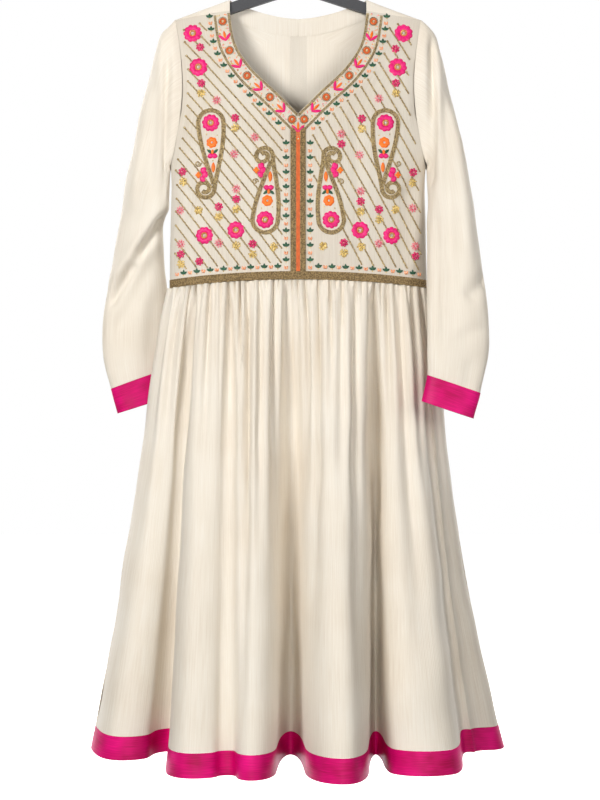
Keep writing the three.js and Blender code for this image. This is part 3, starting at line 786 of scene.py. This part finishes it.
SKIRT_CREASES = table(
    "waist0 waist1 to_h width depth",
    (-198, -196, 0.70, 4, 8),
    (-186, -184, 0.60, 5, 9),
    (-162, -168, 0.40, 5, 10),
    (-138, -141, 0.55, 6, 8),
    (-108, -108, 0.50, 6, 10),
    (-92, -94, 0.25, 4, 8),
    (-78, -84, 0.92, 7, 14),
    (-58, -58, 0.60, 5, 9),
    (-38, -30, 0.70, 6, 12),
    (-17, -12, 0.35, 5, 10),
    (12, 12, 0.45, 5, 10),
    (33, 24, 0.80, 6, 12),
    (50, 52, 0.30, 5, 8),
    (68, 62, 0.50, 6, 9),
    (90, 84, 0.90, 7, 13),
    (118, 120, 0.50, 6, 10),
    (138, 142, 0.35, 5, 9),
    (157, 164, 0.95, 7, 14),
    (178, 176, 0.50, 5, 9),
    (192, 190, 0.60, 4, 7))


def skirt_creased(grid, waist, heights, rows):
    """Soft troughs that run down the skirt, placed by where they start on the waist."""
    normal = normals_of(grid)
    push = np.zeros(grid.shape[:2])
    for row in rows_of(rows):
        run = np.clip(heights / row["to_h"], 0, 1)[:, None]
        centre = lerp(row["waist0"], row["waist1"], run)
        ends = np.clip(np.minimum(0.25 + run * 8, (1 - run) * 1.8), 0, 1)
        spread = row["width"] * (1 + 1.2 * run) * 0.75
        push += row["depth"] * np.exp(-((waist[None, :] - centre) / spread) ** 2) * ends
    return grid - normal * push[..., None]


skirt_heights = np.concatenate([np.linspace(0, 0.12, 40)[:-1], np.linspace(0.12, BAND_TOP, 62)])
band_heights = np.linspace(BAND_TOP + 0.0004, 1, 8)
for name, folds, side, seed, hem_width, cut_area in (("front", FRONT_FOLDS, -1, 21, 1.5, 0.7),
                                                     ("back", BACK_FOLDS, 1, 22, 1.15, 0.6)):
    heights = np.concatenate([skirt_heights, band_heights])
    grid, waist = skirt_grid(folds, side, heights, 397)
    rows = SKIRT_CREASES if side < 0 else {key: (value * (-1 if "waist" in key else 1))
                                           for key, value in SKIRT_CREASES.items()}
    grid = skirt_creased(grid, waist, heights, rows)
    grid = gathered(grid, waist, heights, 41, seed)
    bump = waves(grid, 150, seed) * np.minimum(1, heights * 4)[:, None] * 1.8
    grid = grid + normals_of(grid) * bump[..., None]
    split = len(skirt_heights)
    skirt = shell("skirt_%s_cloth" % name, [grid[:split]], IVORY)
    belongs(skirt, "ivory_cloth", "skirt_%s" % name, flat=(hem_width, 0.74), area=cut_area, held="gathered")
    band = shell("hem_band_%s_cloth" % name, [grid[split:]], SATIN, thick=1.6, lift=0.4)
    belongs(band, "pink_satin", "hem_band_%s" % name, flat=(hem_width, 0.04), held="gathered")


# ---- what is sewn on the front ----
def sewn(x, z):
    """Places on the front bodice's outer face, with the directions right, up and out there."""
    x, z = np.asarray(x, float), np.asarray(z, float)
    right = on_body(x + 1, z, -1) - on_body(x - 1, z, -1)
    up = on_body(x, z + 1, -1) - on_body(x, z - 1, -1)
    out = np.cross(right, up)
    right, up, out = (way / np.linalg.norm(way, axis=-1, keepdims=True) for way in (right, up, out))
    return on_body(x, z, -1) - out * front_push(x, z)[..., None], right, up, out


def even_path(dense, gap):
    along = np.concatenate([[0], np.cumsum(np.linalg.norm(np.diff(dense, axis=0), axis=1))])
    at = np.linspace(0, along[-1], max(2, int(round(along[-1] / gap)) + 1))
    return np.stack([np.interp(at, along, dense[:, i]) for i in (0, 1)], 1)


def angles_of(path):
    way = np.gradient(path, axis=0)
    return np.arctan2(way[:, 1], way[:, 0])


def beside(path, distance):
    """A path that far to the left of another, going along it."""
    angle = angles_of(path)
    return path + np.stack([-np.sin(angle) * distance, np.cos(angle) * distance], 1)


def bead_shape():
    """A bead of 24 triangles: two poles and two rings of six."""
    ring = np.linspace(0, 2 * math.pi, 7)[:-1]
    points = [(0, 0, 1)]
    for height, radius, shift in ((0.5, 0.9, 0), (-0.5, 0.9, 0.5)):
        turn = ring + shift * math.pi / 3
        points += list(zip(radius * np.cos(turn), radius * np.sin(turn), [height] * 6))
    points.append((0, 0, -1))
    faces = []
    for i in range(6):
        j = (i + 1) % 6
        faces += [(0, 1 + i, 1 + j), (1 + i, 7 + i, 1 + j), (1 + j, 7 + i, 7 + j), (13, 7 + j, 7 + i)]
    return np.array(points, float), np.array(faces)


def pad_shape(rows=9, columns=7):
    """A lens of satin stitch lying along X, pointed at both ends."""
    t = np.linspace(0, 1, rows)[:, None]
    s = np.linspace(-1, 1, columns)[None, :]
    wide = np.sin(math.pi * t) ** 0.75
    grid = np.stack(np.broadcast_arrays(2 * t - 1, s * wide, np.sqrt(1 - s * s) * wide ** 0.5), -1)
    quads = grid_faces(rows, columns)
    return grid.reshape(-1, 3), np.concatenate([quads[:, [0, 1, 2]], quads[:, [0, 2, 3]]])[:, ::-1]


class Sewing:
    """Collects many small things of one material and makes them into one mesh."""

    def __init__(self, shape):
        self.shape = shape
        self.rows = []

    def add(self, x, z, angle=0.0, long=1.1, wide=1.1, high=1.0, lift=0.5):
        columns = np.broadcast_arrays(x, z, angle, long, wide, high, lift)
        self.rows.append(np.stack([np.ravel(column) for column in columns], 1))

    def make(self, name, material, slot):
        x, z, angle, long, wide, high, lift = np.concatenate(self.rows).T
        place, right, up, out = sewn(x, z)
        points, faces = self.shape
        cos, sin = np.cos(angle)[:, None], np.sin(angle)[:, None]
        along, across = right * cos + up * sin, up * cos - right * sin
        corners = (place + out * lift[:, None])[:, None, :] + (
            along[:, None, :] * (points[None, :, 0] * long[:, None])[..., None]
            + across[:, None, :] * (points[None, :, 1] * wide[:, None])[..., None]
            + out[:, None, :] * (points[None, :, 2] * high[:, None])[..., None])
        count, size = len(x), len(points)
        every = (faces[None] + np.arange(count)[:, None, None] * size).reshape(-1, 3)
        quads = np.concatenate([every, every[:, 2:]], 1)
        grain = np.stack([points[None, :, 0] * long[:, None] * MM + random.uniform(0, 1, count)[:, None],
                          points[None, :, 1] * wide[:, None] * MM + np.zeros((count, 1))], -1)
        piece = make_mesh(name, corners.reshape(-1, 3), quads, material, grain.reshape(-1, 2))
        belongs(piece, slot)


def bead_material(name, dark, light, metallic, roughness):
    n = Nodes(name)
    place = n.add("ShaderNodeTexCoord").outputs["Object"]
    colour = n.colours(n.noise(place, 420.0, 1.0), (0.36, dark), (0.64, light))
    return n.finish(Base_Color=colour, Metallic=metallic, Roughness=roughness)


def thread_material(name, dark, light, roughness=0.42):
    """Satin stitch: a fine thread pattern across each pad."""
    n = Nodes(name)
    grain = n.add("ShaderNodeAttribute", attribute_name="grain").outputs["Vector"]
    place = n.add("ShaderNodeTexCoord").outputs["Object"]
    thread = n.noise(n.stretched(grain, (1600, 120, 1)), 1.0, 2.0)
    tone = n.math("ADD", n.math("MULTIPLY", thread, 0.6), n.math("MULTIPLY", n.noise(place, 160.0), 0.4))
    colour = n.colours(tone, (0.34, dark), (0.62, light))
    return n.finish(Base_Color=colour, Roughness=roughness, Normal=n.bump(thread, 0.0003, 0.6),
                    Specular_IOR_Level=0.35)


ANTIQUE = bead_material("gold_beads", (0.16, 0.105, 0.04), (0.48, 0.36, 0.17), 0.4, 0.36)
BRIGHT = bead_material("bright_gold_beads", (0.36, 0.23, 0.05), (0.85, 0.64, 0.24), 0.4, 0.3)
BRAID = bead_material("metallic_braid", (0.12, 0.075, 0.028), (0.34, 0.235, 0.10), 0.4, 0.42)
PEACH = bead_material("peach_beads", (0.84, 0.27, 0.10), (0.97, 0.49, 0.27), 0.0, 0.3)
PEARL = bead_material("pearl_beads", (0.62, 0.58, 0.52), (0.85, 0.83, 0.80), 0.1, 0.2)
PINK_BEAD = bead_material("pink_beads", (0.48, 0.004, 0.07), (0.80, 0.03, 0.17), 0.0, 0.25)
PALE_BEAD = bead_material("pale_pink_thread", (0.72, 0.10, 0.15), (0.88, 0.36, 0.38), 0.0, 0.35)
PINK = thread_material("pink_thread", (0.52, 0.0005, 0.09), (0.88, 0.003, 0.20))
ORANGE = thread_material("orange_thread", (0.70, 0.10, 0.002), (0.98, 0.21, 0.006))
BURNT = thread_material("burnt_orange_thread", (0.42, 0.06, 0.006), (0.70, 0.13, 0.015))
GREEN = thread_material("green_thread", (0.003, 0.03, 0.012), (0.009, 0.085, 0.034))

BEAD, PAD = bead_shape(), pad_shape()
lines, outlines, cords = Sewing(BEAD), Sewing(BEAD), Sewing(BEAD)
bright, peach, pearls = Sewing(BEAD), Sewing(BEAD), Sewing(BEAD)
pink_beads, pale_beads = Sewing(BEAD), Sewing(BEAD)
pink, orange, green = Sewing(PAD), Sewing(PAD), Sewing(PAD)

BEAD_GAP, STRAND_GAP = 2.0, 1.9


def bead_row(kind, path, size=1.15, high=1.0, lift=0.5):
    kind.add(path[:, 0], path[:, 1], angles_of(path), size, size, high, lift)


def twisted_row(path, tilt, lift):
    """Long beads set aslant along a path, as the strands of a twisted cord."""
    path = even_path(path, STRAND_GAP)
    cords.add(path[:, 0], path[:, 1], angles_of(path) + tilt, 1.75, 0.85, 0.8, lift)


# the neck border follows the edge of the neck, on the -X side going down; the other is its mirror
def neck_path(distance, gap):
    z = np.linspace(NECK_SHOULDER_Z - 4, NECK_POINT_Z, 80)
    edge = np.stack([-neck_half(z), z], 1)
    beyond = edge[-1] + (edge[-1] - edge[-4]) * np.linspace(0.2, 6, 30)[:, None]
    path = beside(np.concatenate([edge, beyond]), -distance)
    return even_path(path[path[:, 0] < -0.4], gap)


def as_is(path):
    return path


def flipped(path):
    return path * (-1, 1)


BORDER = 26
for sides in (as_is, flipped):
    for distance in (1.6, 3.7, BORDER - 2.1, BORDER):
        bead_row(outlines, sides(neck_path(distance, BEAD_GAP)))

# ---- flowers ----
ROSETTES = table(
    "name x z radius",
    ("shoulder", 168, -172, 15),
    ("upper", 158, -228, 15),
    ("outer paisley", 138, -318, 14),
    ("inner paisley", 52, -472, 14),
    ("low", 98, -488, 14),
    ("lowest", 148, -496, 14))
rosettes = [(side * row["x"], row["z"], row["radius"]) for side in (-1, 1) for row in rows_of(ROSETTES)]


def ring_mesh(rows, inner, petals, height, material, name, slot, waist=0.16):
    """Padded rings of satin stitch, scalloped into petals."""
    points, faces, grains = [], [], []
    for count, (x, z, radius) in enumerate(rows):
        turn = np.linspace(0, 2 * math.pi, petals * 6 + 1)[:, None]
        t = np.linspace(0, 1, 9)[None, :]
        petal = np.abs(np.cos((turn + count) * petals / 2)) ** 0.6
        outer = radius * (1 - waist + waist * petal)
        r = lerp(radius * inner, outer, t)
        crown = np.sin(math.pi * np.clip(t * 0.93 + 0.07, 0, 1)) ** 0.6
        h = height * crown * (0.62 + 0.38 * petal * t + 0.38 * (1 - t))
        place, _, _, out = sewn(x + r * np.cos(turn), z + r * np.sin(turn))
        grid = place + out * (h + 0.1)[..., None]
        faces.append(grid_faces(*grid.shape[:2], sum(len(p) for p in points)))
        points.append(grid.reshape(-1, 3))
        grain = np.stack(np.broadcast_arrays(turn * radius * MM, t * 0.01), -1)
        grains.append(grain.reshape(-1, 2))
    quads = np.concatenate(faces)[:, ::-1]
    belongs(make_mesh(name, np.concatenate(points), quads, material, np.concatenate(grains)), slot)


ring_mesh(rosettes, 0.36, 10, 2.6, PINK, "rosettes", "pink_thread")
ring_mesh([(x, z, r * 0.43) for x, z, r in rosettes], 0.42, 9, 2.0, BURNT, "rosette_hearts", "orange_thread")
for x, z, radius in rosettes:
    turn = np.linspace(0, 2 * math.pi, 13)[:-1]
    bright.add(x + radius * 0.27 * np.cos(turn), z + radius * 0.27 * np.sin(turn), 0, 1.0, 1.0, 1.0, 1.9)
    pearls.add(x, z, 0, 1.3, 1.3, 1.3, 2.2)


def burst(kind, x, z, count, radius, long, wide, high=1.1, lift=0.6, turn=0.3):
    around = np.linspace(0, 2 * math.pi, count + 1)[:-1] + turn + x
    kind.add(x + radius * np.cos(around), z + radius * np.sin(around), around, long, wide, high, lift)


def pale_flower(x, z):
    burst(pale_beads, x, z, 9, 5.0, 2.6, 1.25)
    burst(pale_beads, x, z, 6, 2.5, 1.6, 1.1, lift=1.0)
    burst(pink_beads, x, z, 4, 3.4, 1.1, 0.9, lift=1.3)
    pearls.add(x, z, 0, 1.1, 1.1, 1.0, 1.4)


def pink_flower(x, z):
    burst(pink_beads, x, z, 7, 4.7, 2.6, 2.3, 1.5)
    burst(pink_beads, x, z, 5, 2.4, 1.7, 1.5, 1.4, 1.3)
    pale_beads.add(x, z, 0, 1.0, 1.0, 1.0, 2.4)


def gold_flower(x, z):
    draw = np.random.default_rng(int(abs(x) * 7 + abs(z)))
    count = 30
    radius = 6.4 * np.sqrt((np.arange(count) + 0.5) / count)
    turn = np.arange(count) * 2.4 + draw.uniform(-0.3, 0.3, count)
    bright.add(x + radius * np.cos(turn), z + radius * np.sin(turn), turn, 1.5, 1.25, 1.2,
               0.6 + 1.3 * (1 - radius / 6.4))


def leaf(x, z, up=math.pi / 2):
    """Three green lobes fanned out from a gold bead."""
    for turn, long in ((0, 4.2), (0.95, 3.7), (-0.95, 3.7)):
        way = up + turn
        green.add(x + 3.2 * np.cos(way), z + 3.2 * np.sin(way), way, long, 2.0, 1.3, 0.2)
    bright.add(x - 1.8 * np.cos(up), z - 1.8 * np.sin(up), 0, 1.2, 1.2, 0.9, 0.5)


def peach_pair(x, z, way):
    for shift in (-1.7, 1.7):
        peach.add(x - shift * np.sin(way), z + shift * np.cos(way), way + shift * 0.12, 3.4, 1.6, 1.2, 0.4)


def leaf_row(path, way):
    """Leaves and peach beads by turns."""
    for i, (x, z) in enumerate(path):
        if i % 2 == 0:
            leaf(x, z - 1, way)
        else:
            peach_pair(x, z, way)


for sides in (as_is, flipped):
    beside_border = neck_path(BORDER + 7.5, 10.8)
    leaf_row(sides(beside_border[beside_border[:, 0] < -17]), math.pi / 2)
    heights = np.arange(-352, -548, -11.5)
    leaf_row(sides(np.stack([np.full(len(heights), -19), heights], 1)), math.pi / 2)
    across = np.arange(-32, -199, -10.7)
    leaf_row(sides(np.stack([across, waist_z(across) + TRIM_HEIGHT + 7], 1)), math.pi / 2)


def v_motif(x, z, way):
    """Two pink strokes opening along a direction, an orange leaf between them and a gold one beside."""
    for turn in (0.72, -0.72):
        pink.add(x + 7.2 * np.cos(way + turn), z + 7.2 * np.sin(way + turn), way + turn, 8.6, 2.5, 1.9, 0.2)
    orange.add(x + 10 * np.cos(way), z + 10 * np.sin(way), way, 7.2, 2.1, 1.6, 0.3)
    bright.add(x + 14 * np.cos(way + 0.5), z + 14 * np.sin(way + 0.5), way + 0.4, 3.2, 1.6, 0.9, 0.4)


def ring_motif(x, z):
    burst(cords, x, z, 18, 6.6, 1.1, 0.9, 0.9, 0.5)
    bright.add(x, z, 0, 1.9, 1.5, 1.5, 1.2)
    pearls.add(x + 0.4, z + 0.5, 0, 0.9, 0.9, 0.9, 2.2)


ring_places = []
for sides in (as_is, flipped):
    middle = neck_path(BORDER / 2 + 0.5, 1.0)
    towards = angles_of(middle)
    for i in range(9):
        at = int(lerp(0.05, 0.95, i / 8) * (len(middle) - 1))
        (x, z), way = sides(middle[at:at + 1])[0], towards[at] + math.pi
        if sides is flipped:
            way = math.pi - way
        if i % 2 == 0:
            ring_motif(x, z)
            ring_places.append((x, z, 5.9))
        else:
            v_motif(x - 7.5 * np.cos(way), z - 7.5 * np.sin(way), way)
            ring_places.append((x, z, 0))
    # small beads between the motifs
    for distance in (7.0, 8.5, 18.5, 20.5):
        for x, z in sides(neck_path(distance, 6.1)):
            kind = (peach, bright, peach, pale_beads)[int(random.integers(4))]
            turn = random.uniform(0, math.pi)
            x, z = x + random.uniform(-1.2, 1.2), z + random.uniform(-1.2, 1.2)
            if min(math.hypot(x - cx, z - cz) for cx, cz, _ in ring_places) > 8.5:
                kind.add(x, z, turn, 1.7, 1.0, 0.8, 0.3)
border_rings = [ring for ring in ring_places if ring[2]]
ring_mesh(border_rings, 0.36, 10, 1.6, BURNT, "border_rings", "orange_thread", waist=0.05)
v_motif(0, -334, math.pi / 2)
ring_motif(0, -345)


# ---- paisleys ----
def spiral(x, z, radius, turns, count=60):
    """A coil that starts at its own left edge, goes down first and closes in."""
    turn = np.linspace(0, 2 * math.pi * turns, count)
    reach = radius * (1 - 0.7 * turn / turn[-1])
    return np.stack([x - reach * np.cos(turn), z - reach * np.sin(turn)], 1)


def paisley(radius, length, curl):
    """A drop with a round head at 0, 0 and its tail below, which coils to the right."""
    down = np.linspace(0, 1, 40)
    half = radius * np.cos(math.pi / 2 * down) ** 1.2
    over = np.linspace(0, math.pi, 30)[1:-1]
    right = np.stack([half, -length * down], 1)[-4::-1]
    head = np.stack([radius * np.cos(over), radius * np.sin(over)], 1)
    left = np.stack([-half, -length * down], 1)
    return np.concatenate([right, head, left]), spiral(curl, -length, curl, 1.35)


def inside(polygon, x, z):
    """Which places lie inside a closed polygon."""
    result = np.zeros(np.shape(x), bool)
    for (ax, az), (bx, bz) in zip(polygon, np.roll(polygon, -1, axis=0)):
        crosses = (az > z) != (bz > z)
        result ^= crosses & (x < (bx - ax) * (z - az) / (bz - az + 1e-9) + ax)
    return result


def tulip(x, z, way):
    """Two green leaves, an orange bud between them and a pink flower over it."""
    across = way + math.pi / 2
    for side in (-1, 1):
        lx = x + 4.6 * math.cos(way) + side * 4.6 * math.cos(across)
        lz = z + 4.6 * math.sin(way) + side * 4.6 * math.sin(across)
        green.add(lx, lz, way + side * 0.9, 5.4, 2.3, 1.6, 0.2)
        px = x - 2.6 * math.cos(way) + side * 3.3 * math.cos(across)
        pz = z - 2.6 * math.sin(way) + side * 3.3 * math.sin(across)
        pink.add(px, pz, across + side * 0.25, 5.2, 4.2, 2.4, 0.2)
    orange.add(x + 3.6 * math.cos(way), z + 3.6 * math.sin(way), way, 4.4, 2.6, 2.4, 0.5)


flower_places, keep_out, hooks = [], [], []
# up says whether the tail is below the head (1) or above it (-1)
PAISLEYS = table(
    "name x z up radius length lean curl",
    ("outer", 138, -318, 1, 20, 104, 6, 16),
    ("inner", 52, -472, -1, 20, 100, 12, 15))
for side in (-1, 1):
    for row in rows_of(PAISLEYS):
        x0, z0, up, length, curl = row["x"], row["z"], row["up"], row["length"], row["curl"]

        def place(points):
            """From the drop's own directions to the panel: the coil turns to the outside."""
            points = np.atleast_2d(points).astype(float)
            lean = row["lean"] * np.clip(-points[:, 1] / length, 0, 1.2)
            return np.stack([side * (x0 + points[:, 0] - lean), z0 + up * points[:, 1]], 1)

        drop, coil = paisley(row["radius"], length, curl)
        outline = even_path(place(np.concatenate([drop, coil[1:]])), 1.0)
        for shift in (-2.3, 0, 2.3):
            bead_row(outlines, even_path(beside(outline, shift), BEAD_GAP), 1.35, 1.2, 0.6 + 0.5 * (shift == 0))
        keep_out += [place(drop), place(coil[:30])]
        bead_row(outlines, even_path(place(spiral(curl + 8, 40 - length, 5, 1.2)), 1.9), 1.3, 1.1)
        way = up * math.pi / 2
        flower_places.append((*place((0, -0.3 * length))[0], 9.0))
        tulip(*place((0, -0.48 * length))[0], way)
        orange.add(*place((0, -0.68 * length))[0], way, 8.6, 3.2, 2.0, 0.2)
        hx, hz = place((curl + 2, 22 - length))[0]
        hooks.append((hx, hz, 14))
        for dx, dz, long, wide in ((1.5, 7, 6.0, 5.2), (4.0, 0, 6.4, 5.4), (0.5, -7, 6.0, 5.0)):
            pink.add(hx - side * dx, hz + dz, -0.9 * side * math.copysign(1, dz + 0.1), long, wide, 2.4, 0.2)
        for dx, dz in ((-6.5, 2.6), (-6.5, -2.6), (-8.5, 0), (-4.5, 0)):
            orange.add(hx - side * dx, hz + dz, 0.4 * dz, 3.2, 2.5, 1.8, 0.4)
        # a few beads that fill in beside the flowers
        for across, along in ((8, -18), (-9, -20), (6, -42), (-6, -42), (0, -60)):
            bright.add(*place((across, along))[0], across, 1.6, 0.9, 0.8, 0.3)
ring_mesh(flower_places, 0.2, 7, 2.0, ORANGE, "orange_flowers", "orange_thread")
for x, z, _ in flower_places:
    pearls.add(x, z, 0, 1.5, 1.5, 1.3, 1.2)

# ---- slanting lines of beads ----
LINE_GAP = 17.4
border_outer = neck_path(BORDER + 14, 4)


def border_half(z):
    """Half width taken up by the neck border and its leaves at a height."""
    return np.interp(-z, -border_outer[:, 1], -border_outer[:, 0], left=160, right=24)


def armhole_margin(z):
    return np.where(z > ARMPIT_Z, armhole_half(z), body_side(np.minimum(z, ARMPIT_Z))) - 9


# small flowers in upright sprigs, in staggered columns wherever nothing else lies
SPRIG_X, SPRIG_Z, SPRIG_ACROSS, SPRIG_DOWN, SPRIG_STEP = 40, -196, 29, 57, 16
FLOWERS = {"l": pale_flower, "p": pink_flower, "g": gold_flower}
SPRIG_KINDS = ("lpg", "pg", "lpg", "l", "pg")
marks = np.concatenate([even_path(outline, 4) for outline in keep_out])


def is_free(x, z):
    """Whether a small flower fits at a place on the front."""
    clear = abs(x) < armhole_margin(np.array(z)) - 3 and z < ridge_z(x) - 30
    clear = clear and abs(x) > (34 if z < -345 else border_half(z) + 8) and z > waist_z(x) + TRIM_HEIGHT + 22
    clear = clear and np.hypot(marks[:, 0] - x, marks[:, 1] - z).min() > 12
    clear = clear and not any(inside(outline, np.array([x]), np.array([z]))[0] for outline in keep_out)
    return clear and all(math.hypot(x - rx, z - rz) > radius + 7 for rx, rz, radius in rosettes + hooks)


for side in (-1, 1):
    for column in range(6):
        for row in range(7):
            x = side * (SPRIG_X + SPRIG_ACROSS * column) + random.uniform(-3, 3)
            top = SPRIG_Z - SPRIG_DOWN * (row + 0.5 * (column % 2)) + random.uniform(-3, 3)
            for i, flower in enumerate(SPRIG_KINDS[(column + 2 * row) % len(SPRIG_KINDS)]):
                if is_free(x, top - SPRIG_STEP * i):
                    FLOWERS[flower](x, top - SPRIG_STEP * i)

for side, steep_top, steep_low, first in ((-1, 0.95, 0.72, -520), (1, 0.62, 0.52, -130)):
    z = np.linspace(-140, -570, 600)
    lean = lerp(steep_top, steep_low, (-140 - z) / 430)
    shift = np.concatenate([[0], np.cumsum((lean[1:] + lean[:-1]) / 2 * -np.diff(z))])
    for k in range(40):
        dense = np.stack([first + k * LINE_GAP + shift, z], 1)
        path = even_path(dense, BEAD_GAP)
        x, height = path.T
        keep = (np.abs(x) < armhole_margin(height)) & (x * side > 0) & (height < ridge_z(x) - 22)
        keep &= np.abs(x) > np.where(height < -345, 25, border_half(height))
        keep &= height > waist_z(x) + TRIM_HEIGHT + 13
        for polygon in keep_out:
            keep &= ~inside(polygon, x, height)
        for rx, rz, radius in rosettes:
            keep &= np.hypot(x - rx, height - rz) > radius - 1
        if keep.sum() < 5:
            continue
        wobble = 0.25 * np.sin(np.arange(len(path)) * 1.7 + k)
        angle = angles_of(path)
        aside = beside(path, wobble)[keep]
        lines.add(aside[:, 0], aside[:, 1], angle[keep] + 0.4, 1.6, 1.45, 1.05, 0.5)
        starts = keep & ~np.concatenate([[False], keep[:-1]])
        lines.add(x[starts], height[starts], 0, 2.1, 2.1, 1.4, 0.6)

# ---- waist trim and placket ----
NARROWEST_SHEET = 0.01  # narrower strips are trims, and get no sheet settings


def strip(name, node, x, z, material, slot, flat, **sizes):
    """A woven strip lying on the front, on a grid of places."""
    place, _, _, _ = sewn(x, z)
    sheet = {"flat": flat, "held": "stretched"} if min(flat) >= NARROWEST_SHEET else {}
    belongs(shell(name, [place], material, **sizes), slot, node, **sheet)


share = spread(np.linspace(0, 1, 60))
trim_x = np.concatenate([-share[:0:-1], share]) * (WAIST_HALF - 1.2)
x, up = np.meshgrid(trim_x, np.linspace(TRIM_HEIGHT, 0, 5))
strip("waist_trim_braid", "waist_trim", x, waist_z(x) + up, BRAID, "metallic_braid", (0.46, 0.013),
      thick=1.2, lift=1.3)
for row in range(6):
    path = np.stack([trim_x, waist_z(trim_x) + 1.1 + row * 2.2], 1)
    twisted_row(path[np.abs(trim_x) < WAIST_HALF - 3], 0.75 if row % 2 else -0.75, 1.5)

trim_top = waist_z(0) + TRIM_HEIGHT
heights = np.linspace(PLACKET_TOP, trim_top, 60)
for name, node, left, right, material, slot, flat in (
        ("placket_left_braid", "placket_trim_left", -PLACKET_HALF, -STRIPE_HALF,
         BRAID, "metallic_braid", (0.009, 0.225)),
        ("placket_right_braid", "placket_trim_right", STRIPE_HALF, PLACKET_HALF,
         BRAID, "metallic_braid", (0.009, 0.225)),
        ("placket_orange", "placket_stripe", -STRIPE_HALF, STRIPE_HALF,
         BURNT, "orange_thread", (0.006, 0.225))):
    x, z = np.meshgrid(np.linspace(left, right, 6), heights)
    strip(name, node, x, z, material, slot, flat, thick=1.0, lift=1.2)
for side in (-1, 1):
    for row in range(4):
        down = np.linspace(PLACKET_TOP, trim_top, 120)
        path = np.stack([np.full(120, side * (STRIPE_HALF + 1.4 + row * 2.15)), down], 1)
        twisted_row(path, 0.7 if row % 2 else -0.7, 1.4)

for sewing, name, material, slot in (
        (lines, "bead_lines", ANTIQUE, "gold_beads"),
        (outlines, "bead_outlines", ANTIQUE, "gold_beads"),
        (cords, "twisted_cords", BRAID, "metallic_braid"),
        (bright, "bright_beads", BRIGHT, "gold_beads"),
        (peach, "peach_beads", PEACH, "peach_beads"),
        (pearls, "pearls", PEARL, "pearl_beads"),
        (pink_beads, "pink_bead_flowers", PINK_BEAD, "pink_beads"),
        (pale_beads, "pale_bead_flowers", PALE_BEAD, "pale_pink_thread"),
        (pink, "pink_stitches", PINK, "pink_thread"),
        (orange, "orange_stitches", ORANGE, "orange_thread"),
        (green, "green_leaves", GREEN, "green_thread")):
    sewing.make(name, material, slot)

# ---- hanger ----
for node in ("hanger_arms", "hanger_hook"):
    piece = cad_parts[node]
    piece.data.materials.clear()
    piece.data.materials.append(BLACK)
